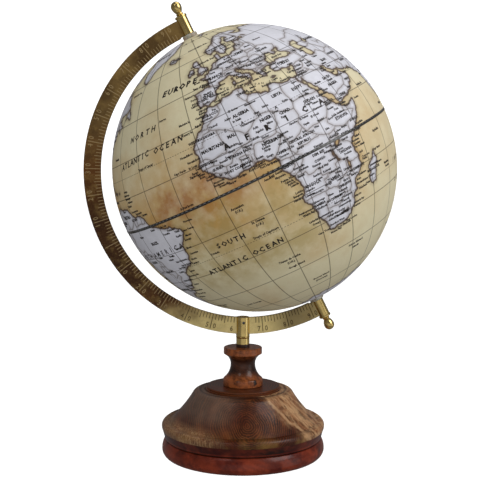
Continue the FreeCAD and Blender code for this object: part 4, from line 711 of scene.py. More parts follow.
# Plain names by size: letter height in mm, boldness, then names with longitude and latitude.
NAMES = [
    (2.15, 0.05, """ALGERIA 5 27.2;LIBYA 21 27.7;EGYPT 30.2 26.6;SUDAN 31.4 19.6;CHAD 20.1 20;
     NIGER 12.3 20.8;MALI -1.6 20.6;MAURITANIA -9.8 19.4;NIGERIA 9.6 11.5;ETHIOPIA 40.4 7.4;
     ANGOLA 17.3 -12.3;ZAMBIA 26 -14.3;BRAZIL -53 -8;ARGENTINA -65 -35;PERU -75 -11;CANADA -100 58;
     MEXICO -102 24;RUSSIA 95 60;CHINA 104 34;INDIA 79 21;IRAN 54 32.5;KAZAKHSTAN 68 45;MONGOLIA 104 46.5;
     GREENLAND -42 73;BOLIVIA -64.5 -17;COLOMBIA -73 4.5;VENEZUELA -66 7;CHILE -71 -27;UNITED STATES -98 39;
     INDONESIA 113 -1;TURKEY 34 38.9;SPAIN -3.8 40;FRANCE 2.6 46.6;SAUDI 46 25;ARABIA 46.5 21.5"""),
    (1.7, 0.055, """MOROCCO -6 32.3;TUNISIA 9.5 34.6;GHANA -1.2 7.8;CAMEROON 13.2 5.6;CENTRAL AFRICAN 21 7.4;
     REPUBLIC 21 5.4;DEM. REP. 24 -1.8;CONGO 23.5 -4.4;GABON 11.8 -0.8;KENYA 38 0.4;TANZANIA 35 -6;
     SOMALIA 45.5 4;UGANDA 32.6 1.6;NAMIBIA 17 -21.5;BOTSWANA 23.8 -22.3;SOUTH AFRICA 23.6 -30;
     ZIMBABWE 29.8 -19;MOZAMBIQUE 37.6 -15.2;MADAGASCAR 46.8 -19.5;SENEGAL -14.2 14.5;GUINEA -11 10.9;
     IVORY COAST -5.6 7.6;BURKINA FASO -1.6 12.6;WESTERN SAHARA -12.6 24.8;YEMEN 47.5 15.6;OMAN 56.5 20.5;
     IRAQ 43.8 33;SYRIA 38.5 35;JORDAN 37 31;ITALY 12.3 43;GERMANY 10.4 51;POLAND 19.4 52.2;UKRAINE 31.5 49;
     ROMANIA 25 45.8;GREECE 22 39.4;SWEDEN 15.5 61;NORWAY 8.8 61;FINLAND 26 63;ICELAND -18.6 65;
     PORTUGAL -8 39.2;PAKISTAN 68.5 29;AFGHANISTAN 66 34;BURMA 96 21;THAILAND 101 16;VIETNAM 106.5 13;
     JAPAN 138.4 36.2;PHILIPPINES 122.5 15;NEW ZEALAND 172 -43;PARAGUAY -58.5 -23.2;URUGUAY -56 -33;
     ECUADOR -78.3 -1.4;GUYANA -59 5;CUBA -79 21.6;ERITREA 38.8 15.6"""),
    (1.5, 0.05, """Dakar -17.6 14.2;Conakry -14.8 9.4;Freetown -14.6 8.2;Monrovia -12.6 6;Abidjan -4.2 4;
     Accra -0.3 4.4;Lome 1.8 5.2;Lagos 3.8 5.4;Douala 8.2 3.2;Libreville 7.2 0.2;Port Gentil 6.4 -1.4;
     Pointe Noire 9.8 -5.6;Luanda 11 -9;Lobito 11.4 -12.6;Namibe 10 -15.4;Walvis Bay 11.8 -23;
     Luderitz 12.6 -26.8;Cape Town 15.6 -33.6;Port Elizabeth 25.4 -35;Durban 33.6 -30;Maputo 35 -26;
     Beira 37 -20;Antananarivo 47.6 -17.6;Mombasa 41.4 -4.4;Nairobi 36.8 -1.6;Mogadishu 47.4 1.6;
     Cairo 30.6 29.2;Alexandria 28.6 32;Tripoli 13.2 33.6;Benghazi 20.2 33.4;Tunis 10.6 38;Algiers 3.2 37.6;
     Oran -1 36.2;Rabat -8.8 34.4;Casablanca -9.6 33.2;Marrakech -8 31.2;Agadir -12 30.4;Nouakchott -18.4 18;
     Bissau -17.6 11.4;Tamanrasset 5.6 22.4;Timbuktu -3 16.8;Niamey 2 13.9;Kano 8.6 12.4;Khartoum 32.6 15.2;
     Addis Ababa 38.8 9.2;Kinshasa 16.4 -4.6;Lubumbashi 27.4 -11.4;Harare 31 -17.4;Pretoria 28.2 -25.2;
     Johannesburg 27.6 -26.6;Kimberley 24.6 -28.4;Windhoek 17.4 -23;Bloemfontein 25.8 -30;Lisbon -10.8 38.4;
     Madrid -3.6 41.2;Barcelona 2.6 41.9;Paris 2.4 48.8;London -0.4 51.6;Rome 12.4 41.6;Naples 14.4 40.6;
     Athens 23.9 38;Istanbul 29 40.4;Ankara 33 39.7;Berlin 13.2 52.4;Vienna 16.2 48.1;Warsaw 21 52.8;
     Kiev 30.6 50.3;Moscow 37.4 55.6;Oslo 10.4 60;Stockholm 18 59;Helsinki 25 61;Belgrade 20.6 44.6;
     Budapest 19.2 47.4;Bucharest 26.2 44.3;Odessa 31 46.4;Baghdad 44.6 34.4;Damascus 36.4 33.6;
     Jerusalem 35.4 31.2;Riyadh 46.8 23.4;Mecca 40.8 20.6;Medina 40 24.6;Jeddah 38.4 21.6;Aden 45.2 12.2;
     Sanaa 44.6 14.4;Tehran 51.4 35.6;Basra 48 29.4;Kuwait 48 28.2;Djibouti 43.6 12.2;Asmara 37.8 14.6;
     Port Sudan 37.6 19.4;Aswan 32.6 24;Canary Is. -17.4 29.2;Madeira Is. -17.4 33.6;Azores -27.6 39.4;
     Cape Verde -25.4 16;Recife -37.8 -8.4;Salvador -41.4 -13.6;Fortaleza -39.8 -4.6;Natal -37.4 -6.2;
     Belem -49.4 -2;Rio de Janeiro -43.6 -21.8;Sao Paulo -47.6 -22.8;Brasilia -48 -16;
     Porto Alegre -51.6 -29.6;Buenos Aires -58.6 -36;Manaus -60 -3.6;Caracas -66.8 9.8;Bogota -74 3.4;
     Lima -76.4 -12.8;Santiago -70.8 -33.6;New York -73.4 41.2;Boston -70.4 43;Washington -77.6 38.4;
     Miami -79.4 26.2;Chicago -88 42.6;Denver -105 40;Los Angeles -117 34.6;San Francisco -120.6 38.4;
     Seattle -121.4 47.4;Houston -95.6 30.6;Havana -82 22.6;Mexico City -99.2 19;Bombay 73.8 19.6;
     Delhi 77.2 28.2;Calcutta 88 23;Madras 79.4 13;Colombo 79.2 6.4;Karachi 66 24.4;Peking 116.4 39.6;
     Shanghai 120 31;Hong Kong 114.4 23.2;Tokyo 139.4 36;Manila 121.2 14.8;Bangkok 100.6 14.4;
     Singapore 104.6 0.6;Jakarta 107 -6;Perth 117 -31.6;Adelaide 138.8 -34.2;Melbourne 145 -37;
     Sydney 149.8 -33.2;Brisbane 151.4 -27.4;Darwin 131.6 -13;Auckland 175.4 -36;Wellington 175.6 -40.4"""),
    (1.45, 0.05, """Joao Pessoa -32 -7;Maceio -33.4 -9.4;Aracaju -34.8 -11.2;Ilheus -36.6 -14.8;
     Caravelas -36.2 -17.8;Vitoria -38.2 -20.4;Campos -38.8 -22.4;Santos -44 -25.6;Curitiba -50.4 -24.8;
     Florianopolis -45.4 -28;Pelotas -49.6 -32.8;Montevideo -53.2 -36.4;Mar del Plata -54.6 -38.8;
     Bahia Blanca -59 -41;Cayenne -50 5.8;Paramaribo -53.4 7.2;Georgetown -56 8.6;Trinidad -58.8 11.4;
     Barbados -57 13.2;Martinique -58.4 14.8;Guadeloupe -58.8 16.4;Antigua -59 18;Goiania -50 -17.6;
     Teresina -43 -5.6;Sao Luis -42.6 -2;Belo Horizonte -44.8 -19.4;Cuiaba -56 -15.4;Noronha -30.6 -3.6;
     St. Paul Rocks -28.2 1.8;Trindade -28 -21.6;Nouadhibou -20.6 21;St. Louis -19.6 15.8;Banjul -19.6 13.1;
     Ziguinchor -20 12.1;Boke -17.6 10.3;Bo -11 8;Buchanan -13 4.8;Greenville -11.4 3.8;Harper -8.4 3.2;
     Cotonou 3 4.4;Port Harcourt 5.6 3.4;Sao Tome 4.4 0.4;Annobon 3.8 -1.9;Mayumba 7.6 -3.2;Cabinda 9.6 -6.8;
     Ambriz 10.2 -7.9;Benguela 10.6 -13.8;Swakopmund 11 -21.6;Orange 13.4 -28.4;East London 29.8 -34.2;
     Mossel Bay 21 -35.8;Richards Bay 35 -28.6;Inhambane 38.4 -24;Quelimane 39.4 -18.4;Pemba 43 -13.4;
     Lindi 42 -10;Dar es Salaam 42.6 -7.2;Zanzibar 41.8 -5.9;Malindi 43 -3;Kismayu 44.8 -0.8;Berbera 46 10.8;
     Tulear 41.8 -23.6;Tamatave 51.4 -18;Diego Suarez 52 -12.2;Reunion 58 -22;Bamako -8 12.6;Kumasi -1.6 6.6;
     Ibadan 4 7.6;Abuja 7.6 9;Ndjamena 15.2 12.2;Bangui 18.6 3.8;Yaounde 12 3.9;Brazzaville 15 -3.2;
     Kisangani 25.2 1.2;Kananga 21.4 -5.8;Bujumbura 30 -3.2;Kigali 30.8 -1.8;Lusaka 28.2 -15.8;
     Bulawayo 28.4 -20.7;Gaborone 25 -24.4;Juba 31.6 5.6;Wau 28 8.4;El Obeid 29.8 13;Faya 18.6 18.2;
     Agadez 8.2 17.4;Gao 0 16.2;In Salah 2.6 25.4;Sabha 14.6 25.6;Kufra 22.6 24;Wadi Halfa 30.6 22.4;
     Porto -10.4 41.2;Seville -5.6 37.6;Valencia -1.4 39.1;Bordeaux -0.4 44.9;Lyon 5 45.6;Nantes -1.2 47.2;
     Brussels 4.6 50.3;Hamburg 9.8 53.8;Munich 11.6 48.1;Prague 14.6 49.8;Milan 9.4 45.3;Zagreb 16 45.4;
     Sofia 24 42.8;Izmir 28.8 38.4;Adana 36 37.2;Tbilisi 44.4 42;Baku 48.4 40.4;Minsk 27.6 53.9;
     Riga 24.8 56.8;Dublin -8 53.2;Edinburgh -4 56;Malta 14.6 35;Crete 24.6 34;Cyprus 33 34;
     Balearic Is. 3 38.8;Tyrrhenian Sea 11.8 39.4;Ionian Sea 18.8 37.4;Gibraltar -7.8 35.4;Tabriz 46.8 37.6;
     Mosul 42.6 36.2;Isfahan 52 31;Shiraz 53 29;Abu Dhabi 54 23.6;Doha 52 26;Muscat 59.6 23.8;Salalah 54 17;
     Socotra 54 11.6;Amman 37.2 32.2;Finisterre -12 43.2;Brest -6.6 47.6;Bilbao -3.4 44.6;Cadiz -9.4 36.6;
     Fez -3.8 33.6;Mbandaka 18.4 0.4;Goma 28.6 -1.2;Bukavu 27.4 -2.9;Kolwezi 24.4 -9.9;Kalemie 28 -6.8;
     Mbuji Mayi 23.6 -7.6;Matadi 14.4 -6.9;Saurimo 20.2 -9.6;Huambo 15.6 -13.9;Lubango 14.6 -15.8;
     Menongue 18.2 -16.2;Luena 20.4 -11.4;Ndola 28.4 -12.9;Mongu 23 -15.4;Lilongwe 33 -13.3;
     Blantyre 35.4 -17;Tete 32.8 -16.1;Maun 22.6 -20;Francistown 26.4 -21.9;Upington 20.6 -28.2;
     Polokwane 29.6 -23.7;Maseru 27.4 -29.4;Beaufort West 22.4 -32.4;Keetmanshoop 18.2 -26.8;
     Otjiwarongo 17 -19.9;Bria 22.8 8.9;Nyala 25 11.4;El Fasher 25.4 14.2;Malakal 31 10.2;Gore 35 8.8;
     Harar 42 9.2;Gonder 37.6 12.6;Dese 39.8 11.2;Moyale 39 3.2;Lodwar 35.4 2.8;Kampala 32.4 0.1;
     Mwanza 32.8 -2.8;Dodoma 35.6 -7.6;Mbeya 33.6 -9.2;Tabora 32.8 -4.6;Kaduna 7.6 10.2;Enugu 7.5 6.4;
     Maiduguri 13.2 11.6;Garoua 13.4 8.8;Tamale -1 9.8;Bouake -5.4 9.2;Kayes -11.4 14.2;Segou -5.8 13.4;
     Mopti -4 14.9;Zinder 9 14.2;Tahoua 5.4 15.6;Abeche 20.6 14.2;Moundou 16 9.4;Atbara 33 17.6;
     Dongola 30 18.4;Ghat 10.4 24.6;Ghadames 10 29.4;El Golea 3 30;Adrar -0.4 27.4;Tindouf -6.6 27.4;
     Bilma 13 18.6;Arlit 7.4 19.2;Zouar 16.8 21.6"""),
    (1.7, 0.045, """Ascension -10.9 -7.1;(U.K.) -10.9 -8.8;St. Helena -6.4 -15.9;(U.K.) -6.4 -17.6;
     Tropic of Capricorn -6 -22.4;Tristan da Cunha -2.6 -38;(U.K.) -2.6 -39.8;Gough Island -1 -42.4;
     Bouvet Island 8.9 -55;(Norway) 8.9 -56.8;Prince Edward 32.2 -46.8;Islands 32.2 -48.6;
     Tropic of Cancer -41 24.2;Mozambique Channel 41 -21.6;Arabian Sea 63 16;Bay of Bengal 89 14;
     Red Sea 38.4 19.4;Black Sea 34.4 43.2;Caspian Sea 50.8 41.6;Baltic Sea 19.6 57.2;North Sea 3.4 56;
     Bay of Biscay -5 45.4;Caribbean Sea -75 14.6;Gulf of Mexico -91 25;Hudson Bay -85 59.6;
     Labrador Sea -52 57;Norwegian Sea 2 67;Comoros 44 -12.4;Mauritius 57.6 -20.4;Seychelles 55.6 -5;
     Maldives 73 4;Falkland Islands -59.4 -50.2;South Georgia -37 -54.6;Hawaii -157 20.4;Tasman Sea 160 -38;
     Coral Sea 154 -16;Sea of Japan 134.6 40;Kerguelen 69.6 -49.4;Fiji 178 -18;Galapagos -91 -0.8;
     Easter Island -109.4 -27.4;Bermuda -64.6 32.6"""),
]


def lettering(name, south):
    """All words whose middle lies in one half of the globe, as one piece that turns with it."""
    points, faces, total = [], [], 0

    def add(text, *place):
        nonlocal total
        shape, corners = wrapped(text, *place)
        points.append(shape)
        faces.extend(tuple(c + total for c in face) for face in corners)
        total += len(shape)

    for text, height, bold, slant, lon_a, lat_a, lon_b, lat_b in SPREAD:
        if (lat_a < 0) != south:
            continue
        rise, run = lat_b - lat_a, (lon_b - lon_a) * math.cos(math.radians((lat_a + lat_b) / 2))
        for k, letter in enumerate(text):
            share = k / (len(text) - 1)
            add(letter, lon_a + (lon_b - lon_a) * share, lat_a + rise * share, height, bold, slant,
                math.atan2(rise, run), 1.0)
    for height, bold, names in NAMES:
        for entry in names.split(";"):
            text, longitude, latitude = entry.strip().rsplit(" ", 2)
            if (float(latitude) < 0) == south:
                add(text, float(longitude), float(latitude), height, bold, 0.0, 0.0, 0.92)
    return piece_from(name, np.vstack(points), faces, GLOBE_PLACE)


def ink(looks):
    """Dark brown printing ink under the lacquer, a little worn."""
    f = Finish("map_ink", "globe_print", Roughness=0.55, Specular_IOR_Level=0.3)
    wear = f.noise(1.1, 3)
    colour = f.mix(wear.step(0.5, 0.8) * 0.35, looks.ink, looks.burnt)
    return f.feed(Base_Color=colour, bump=wear, bump_mm=0.01)


# ---------------------------------------------------------------- turned rings

def ring(name, profile_mm, columns, place=None):
    """A closed profile of radius and height pairs in mm, turned about the local Z axis."""
    turn = 2 * np.pi * np.arange(columns) / columns
    points = [(r * math.sin(a) * MM, -r * math.cos(a) * MM, u * MM) for r, u in profile_mm for a in turn]
    faces = []
    for k in range(len(profile_mm)):
        row, after = k * columns, (k + 1) % len(profile_mm) * columns
        for c in range(columns):
            beside = (c + 1) % columns
            faces.append((row + c, row + beside, after + beside, after + c))
    piece = piece_from(name, points, faces, place)
    smooth(piece.data, 30)
    return piece


def tape_print(looks):
    """The chequered strip over the joint: dark, with pale blocks in two rows."""
    f = Finish("tape_print", "tape_print", globe=True, Roughness=0.35, Coat_Weight=0.3, Coat_Roughness=0.2)
    x, y, z = f.axes()
    longitude = f.maths("ARCTAN2", x, 0 - y) * (180 / math.pi)
    block = ((longitude / 2) % 1).step(0.47, 0.53)
    upper = z.step(-0.05, 0.05)
    lower = (1 - block) * (1 - upper) * z.step(-0.62, -0.55) * 0.2
    pale = f.maths("MAXIMUM", block * upper * z.step(0.62, 0.55), lower)
    wear = f.noise(1.5, 3)
    colour = f.mix(pale * (0.10 + 0.35 * wear), looks.tape_black, looks.tape_pale)
    return f.feed(Base_Color=colour, bump=wear, bump_mm=0.02)


# ---------------------------------------------------------------- the engraved arc

ARC_CENTRE = (4.6, 206.0786)    # x and z in mm
ARC_IN, ARC_OUT = 105.579, 117.879
SCALE_ZERO = 62.4               # the scale's nought, in degrees round the arc from straight down
CLIP_ANGLE, CLIP_REACH = 0.5, 3.0       # the stretch under the clip, which has no lines, in degrees
LINE_START, LINE_FINE, LINE_HALF = 0.2, 4.2, 5.3        # the lines' ends in mm from the inner edge
LINE_LONG = 1.2                 # the long lines' end in mm from the outer edge
FIGURE_MM, FIGURE_IN, FIGURE_BESIDE = 3.7, 3.4, 2.7     # height, from the outer edge, from the long line
LAST_SIX = 6.6                  # where the figure beside the clip stands, in degrees


def on_arc(angle, radius_mm):
    """x and z in mm at an angle in degrees from straight down, growing to the left and up."""
    turn = math.radians(angle)
    return ARC_CENTRE[0] - radius_mm * math.sin(turn), ARC_CENTRE[1] - radius_mm * math.cos(turn)


def cut_bar(angle, low_mm, high_mm, wide_mm, depth):
    """A radial cutter bar across the front face: points in metres and faces."""
    turn = math.radians(angle)
    side = (-math.cos(turn) * wide_mm / 2, math.sin(turn) * wide_mm / 2)
    points = []
    for y in (ARC_FRONT - 0.0005, ARC_FRONT + depth):
        for radius, sign in ((low_mm, -1), (high_mm, -1), (high_mm, 1), (low_mm, 1)):
            x, z = on_arc(angle, radius)
            points.append(((x + sign * side[0]) * MM, y, (z + sign * side[1]) * MM))
    faces = [(0, 1, 2, 3), (7, 6, 5, 4), (0, 4, 5, 1), (1, 5, 6, 2), (2, 6, 7, 3), (3, 7, 4, 0)]
    return points, faces


def cut_figure(figure, angle, along_mm, outward, depth):
    """A cutter for one figure; along_mm moves it sideways in its own reading direction."""
    flat, faces = text_points(figure, FIGURE_MM, bold=0.018, depth_mm=1.0, fine=2)
    turn = math.radians(angle)
    sign = -1 if outward else 1
    up = (sign * math.sin(turn), sign * math.cos(turn))
    right = (up[1], -up[0])
    x0, z0 = on_arc(angle, ARC_OUT - FIGURE_IN)
    points = []
    for x, y, z in flat:
        x = x * 0.85 + along_mm
        front = ARC_FRONT - 0.0005 if z > 0 else ARC_FRONT + depth
        points.append(((x0 + x * right[0] + y * up[0]) * MM, front, (z0 + x * right[1] + y * up[1]) * MM))
    return points, faces


def face_outward(mesh, merge=None):
    """Merge points nearer than a distance in metres, if one is given, and turn every face outward."""
    shape = bmesh.new()
    shape.from_mesh(mesh)
    if merge:
        bmesh.ops.remove_doubles(shape, verts=shape.verts, dist=merge)
    bmesh.ops.recalc_face_normals(shape, faces=shape.faces)
    shape.to_mesh(mesh)
    shape.free()


def engraved_arc(sizes):
    """The arc with its degree scale cut into the front: fine lines inside, long lines and figures."""
    depth, wide, step = sizes.engraving_depth, sizes.engraving_width / MM, sizes.scale_step
    cuts = []
    low = ARC_IN + LINE_START
    for k in range(-74, 75):
        angle, high = SCALE_ZERO + k * step / 8, LINE_FINE if k % 4 else LINE_HALF
        if k % 8 and abs(angle - CLIP_ANGLE) > CLIP_REACH:
            cuts.append(cut_bar(angle, low, ARC_IN + high, wide, depth))
    for k in range(-9, 10):
        angle = SCALE_ZERO + k * step
        if k == -6:             # the clip hides this line and its nought
            cuts.append(cut_figure("6", LAST_SIX, 0.0, False, depth))
            continue
        cuts.append(cut_bar(angle, low, ARC_OUT - LINE_LONG, wide * 1.15, depth))
        for figure, side in zip(str(abs(k) * 10) if k else "", (-FIGURE_BESIDE, FIGURE_BESIDE)):
            cuts.append(cut_figure(figure, angle, side, angle > 60, depth))
    points, faces = [], []
    for shape, corners in cuts:
        faces.extend(tuple(c + len(points) for c in face) for face in corners)
        points.extend(shape)
    cutter = piece_from("scale_cutter", points, faces)
    face_outward(cutter.data)
    arc = bpy.data.objects.new("engraved_arc", NODES["meridian_arc"].data.copy())
    bpy.context.scene.collection.objects.link(arc)
    face_outward(arc.data, 1e-7)
    arc.data.materials.clear()
    before = len(arc.data.polygons)
    cut = arc.modifiers.new("scale", "BOOLEAN")
    cut.operation, cut.solver, cut.object = "DIFFERENCE", "MANIFOLD", cutter
    bpy.context.view_layer.update()
    mesh = bpy.data.meshes.new_from_object(arc.evaluated_get(bpy.context.evaluated_depsgraph_get()))
    arc.modifiers.clear()
    arc.data = mesh
    bpy.data.objects.remove(cutter)
    if len(mesh.polygons) < before + 500:
        raise RuntimeError("the degree scale was not cut into the arc")
    mesh.materials.clear()
    # the CAD mesh's own normals don't fit the cut face
    for old in [a.name for a in mesh.attributes if a.name.startswith("custom_normal")]:
        mesh.attributes.remove(mesh.attributes[old])
    groove = mesh.attributes.new("groove", "FLOAT", "FACE")
    values = [1.0 if p.center.y > ARC_FRONT + 0.00002 and p.normal.y < -0.9 and p.center.y < 0 else 0.0
              for p in mesh.polygons]
    groove.data.foreach_set("value", values)
    smooth(mesh, 30)
    return arc


def arc_brass(looks):
    """Old brass strip: olive above, brown down the left, yellow at the foot, the scale filled to show; these
    tones are partly patina and wear and partly painted reflection.
    """
    f = Finish("arc_brass", "arc_brass", Metallic=0.6, Roughness=0.42)
    x, _, z = f.axes()
    cloud, fine = f.noise(14, 4, rough=0.6), f.noise(0.9, 3, rough=0.7)
    ripple = (cloud - 0.5) * 24
    # the yellow foot: partly worn brass, partly a painted reflection of the pale floor below it
    foot = (z - 0.1 * x + ripple * 0.5).step(118, 100)
    # olive above and brown down the left: partly patina, partly a painted reflection of the dark room
    body = f.mix((z + ripple).step(205, 250) * 0.75, looks.brass_patina, looks.brass_olive)
    body = f.mix((z + ripple).band(148, 24, 30) * 0.75, body, looks.brass_dark)
    for at_x, at_z, reach_mm in ((-65, 289, 20), (-98, 262, 9), (-20, 311, 10)):
        stain = (((x - at_x) ** 2 + (z - at_z) ** 2) ** 0.5 + ripple * 0.4).step(reach_mm, reach_mm * 0.4)
        body = f.mix(stain * 0.6, body, looks.brass_dark)
    body = f.mix(foot, body, looks.brass_worn_and_reflection)
    end = (((x - 42) ** 2 + (z - 99) ** 2) ** 0.5 + ripple * 0.5).step(24, 9)
    body = f.mix(end * 0.65, body, looks.brass_dark)
    mottle = f.noise(5.5, 4, rough=0.7, shift=(0.02, 0.04, 0.01))
    body = f.mix(cloud.step(0.44, 0.66) * (0.55 - 0.35 * foot), body, looks.brass_dark)
    body = f.mix(mottle.step(0.50, 0.66) * (0.35 - 0.15 * foot), body, looks.brass_sheen)
    body = f.mix(fine.step(0.5, 0.75) * 0.25, body, looks.brass_olive)
    groove = f.attribute("groove")
    filled = f.mix(foot.step(0.06, 0.26), looks.groove_pale, looks.groove_dark)
    colour = f.mix(groove * (0.45 + 0.25 * foot + 0.3 * fine), body, filled)
    metal = 0.6 - 0.45 * groove * (1 - foot)
    rough = 0.32 + 0.24 * cloud
    return f.feed(Base_Color=colour, Roughness=rough, Metallic=metal, bump=fine + cloud * 2, bump_mm=0.04)


def brass(looks, name="brass", slot="brass"):
    """Turned and lacquered brass with turning lines, faint tarnish and darker hollows."""
    f = Finish(name, slot, Metallic=1.0, Roughness=0.22)
    cloud = f.noise(6, 4, rough=0.6)
    colour = f.mix(cloud.step(0.4, 0.72) * 0.35, looks.brass_bright, looks.brass_olive)
    point = f.node("NewGeometry", out="Pointiness")
    colour = f.mix(point.step(0.49, 0.42) * 0.7, colour, looks.brass_dark)
    return f.feed(Base_Color=colour, Roughness=0.14 + 0.2 * cloud, bump=cloud, bump_mm=0.03)


def steel(looks, name="steel", slot="steel", chart=None):
    """Zinc-plated steel with a brushed, slightly cloudy face."""
    f = Finish(name, slot, Metallic=1.0)
    cloud, line = f.noise(4, 3), f.noise(0.4, 2, (1, 1, 5))
    colour = f.mix(cloud.step(0.35, 0.7), chart or looks.steel, looks.steel_dark)
    return f.feed(Base_Color=colour, Roughness=0.3 + 0.25 * line, bump=line, bump_mm=0.02)


# ---------------------------------------------------------------- wood and small materials

def wood(looks, name, tones, heart, ring_mm, gloss, coat, streaks, grain, marks):
    """Lacquered wood cut round a heart that runs front to back: growth rings, grain, pores and blotches."""
    dark, middle, light = (getattr(looks, tone_name) for tone_name in tones)
    f = Finish(name, name, Coat_Weight=coat, Coat_Roughness=0.14, Roughness=gloss, Specular_IOR_Level=0.2)
    x, y, z = f.axes()
    warp, swirl, jitter = f.noise(24, 2), f.noise(7, 3), f.noise(1.3, 2)
    across, up = x - heart[0] + (warp - 0.5) * 8, z - heart[1] + (swirl - 0.5) * 4
    far = (across * across * 0.8 + up * up * 1.15 + 0.3) ** 0.5 + 0.10 * abs(y + 60)
    rings = (far / ring_mm + swirl * 0.9 + jitter * 0.3) % 1
    comes = f.noise(15, 3, shift=(0.01, 0.03, 0.02)).step(0.3, 0.6)
    line = rings.step(0.0, 0.55) * rings.step(1.0, 0.7) * (0.35 + 0.65 * comes)
    broad = f.maths("SINE", far * (2 * math.pi / (ring_mm * 5.5)) + warp * 6) * 0.5 + 0.5
    fibre = f.noise(0.9, 3, (1, 1, 8), 0.7).step(0.44, 0.62)
    pores = f.noise(0.8, 3, (1, 8, 1), 0.75).step(0.55, 0.75)
    blotch = f.noise(17, 4, rough=0.62)
    colour = f.mix(blotch.step(0.38, 0.62), middle, light)
    colour = f.mix(broad * 0.4, colour, dark)
    colour = f.mix((1 - line) * comes * streaks * 0.35, colour, light)
    colour = f.mix(line * streaks, colour, dark)
    colour = f.mix(fibre * grain * (0.4 + 0.6 * comes), colour, dark)
    colour = f.mix(pores * 0.35, colour, dark)
    colour = marks(f, looks, colour, (x, y, z), blotch, swirl, fibre)
    height = 1 - line * 0.4 - pores * 0.6 - fibre * 0.3
    return f.feed(Base_Color=colour, Roughness=gloss + 0.16 * blotch, bump=height, bump_mm=0.03)


def dome_marks(f, looks, colour, place, blotch, swirl, fibre):
    """Olive lower edge with painted shade along its underside, a painted grey highlight on the left shoulder,
    and pale sapwood on the right with slanting streaks, partly painted light from that side.
    """
    x, y, z = place
    colour = f.mix(z.step(27, 21) * blotch.step(0.42, 0.6) * 0.7, colour, looks.dome_edge)
    # painted shade on the downward-facing underside of the lower bulge
    colour = f.mix(z.step(23.5, 20.5) * (1 - blotch.step(0.5, 0.62)) * 0.25, colour, looks.dome_dark)
    left = (x + 0.3 * y).step(-34, -50) * z.step(30, 26)
    colour = f.mix(left * (0.10 + 0.35 * fibre), colour, looks.dome_pale)
    # pale sapwood up the right side: partly the wood's own colour, partly painted light from the key lamp on
    # that side
    side = x + 0.9 * z + 0.4 * y + (blotch - 0.5) * 22
    slant = f.noise(1.5, 3, (9, 5, 1), 0.7, turn=0.83)
    curl = f.noise(3.2, 4, (2.2, 1.6, 1), 0.75, (0.03, 0.01, 0.02), turn=0.83)
    sap_and_highlight = f.mix(slant.step(0.40, 0.60) * 0.8, looks.dome_pale, looks.dome_light)
    sap_and_highlight = f.mix(curl.step(0.50, 0.60) * 0.6, sap_and_highlight, looks.dome_dark)
    colour = f.mix(side.step(34, 54) * (0.5 + 0.6 * slant), colour, sap_and_highlight)
    colour = f.mix(side.band(43, 0.8, 2.0) * 0.4, colour, looks.dome_pale)
    # painted highlight: a grey sheen on the upper left shoulder
    grey = (x - z * 0.5).step(-24, -44) * z.step(26, 36)
    colour = f.mix(grey * (0.2 + 0.5 * blotch), colour, looks.dome_sheen_grey)
    rim = ((x * x + y * y) ** 0.5).band(31.2, 0.5, 0.7) * z.step(44, 46)
    return f.mix(rim * 0.6, colour, looks.dome_dark)


def plinth_marks(f, looks, colour, place, blotch, swirl, fibre):
    """Darker ledge with a burnt smear, orange blotches on the foot, and a painted shade line in the groove.
    """
    x, y, z = place
    ledge = z.step(14.2, 15.0)
    colour = f.mix(ledge * 0.55, colour, looks.plinth_dark)
    smear = (x - 15 + (swirl - 0.5) * 16).band(0, 6, 10) * y.step(-8, -30) * ledge
    colour = f.mix(smear * (0.6 + 0.4 * swirl), colour, looks.burnt_black)
    worn = f.noise(9, 4, (1.8, 1, 1), 0.65, (0.05, 0.02, 0.01)).step(0.50, 0.62)
    worn = worn * (0.75 - 0.35 * ledge) * (0.6 + 0.4 * abs(x).step(20, 55))
    colour = f.mix(worn, colour, looks.plinth_light)
    colour = f.mix(x.step(-12, -44) * (1 - ledge) * (0.3 + 0.5 * swirl), colour, looks.plinth_light)
    patch = f.noise(11, 4, (2, 1, 1), 0.65, (0.01, 0.04, 0.03))
    colour = f.mix(patch.step(0.5, 0.68) * 0.6, colour, looks.plinth_dark)
    # painted shade along the groove
    return f.mix(z.band(13.2, 0.35, 0.5) * 0.75, colour, looks.burnt_black)


def spool_marks(f, looks, colour, place, blotch, swirl, fibre):
    """Patchy orange rims, a near-black neck, and a small ragged knot in the lower rim."""
    x, y, z = place
    upper, lower = (z + (swirl - 0.5) * 3).step(70.0, 72.5), (z + (swirl - 0.5) * 5).step(61.0, 56.5)
    rims = f.maths("MAXIMUM", upper, lower)
    patch = f.noise(3.5, 4, (1, 1, 1.6), 0.7, (0.02, 0.01, 0.05)).step(0.42, 0.58)
    colour = f.mix(rims * (0.05 + 0.85 * patch), colour, looks.spool_light)
    colour = f.mix((z - 66).band(0, 4.0, 4.5) * 0.75, colour, looks.burnt_black)
    off = (((x - 7.4) * 1.3) ** 2 + ((z - 54.2) * 0.8) ** 2) ** 0.5 + (f.noise(1.2, 3) - 0.5) * 3.2
    return f.mix(off.step(2.1, 1.2) * y.step(-4, -7) * 0.95, colour, looks.burnt_black)


def disc_marks(f, looks, colour, place, blotch, swirl, fibre):
    """Turning rings on the top and a lighter edge."""
    x, y, z = place
    turned = f.maths("SINE", (x * x + y * y) ** 0.5 * 3.3 + swirl * 2) * 0.5 + 0.5
    colour = f.mix(turned.step(0.55, 0.95) * 0.3, colour, looks.spool_light)
    return f.mix(z.step(50.2, 49.6) * 0.15, colour, looks.spool_light)


def plain(name, first, second, size_mm, roughness, bump_mm=0.03, slot=None, **constants):
    """A material of two mixed tones with fine grain."""
    f = Finish(name, slot or name, **constants)
    cloud, fine = f.noise(size_mm, 3), f.noise(size_mm / 6, 3, rough=0.7)
    colour = f.mix(cloud.step(0.35, 0.65) * 0.7 + fine * 0.3, first, second)
    return f.feed(Base_Color=colour, Roughness=roughness + 0.12 * fine, bump=fine, bump_mm=bump_mm)


# ---------------------------------------------------------------- properties

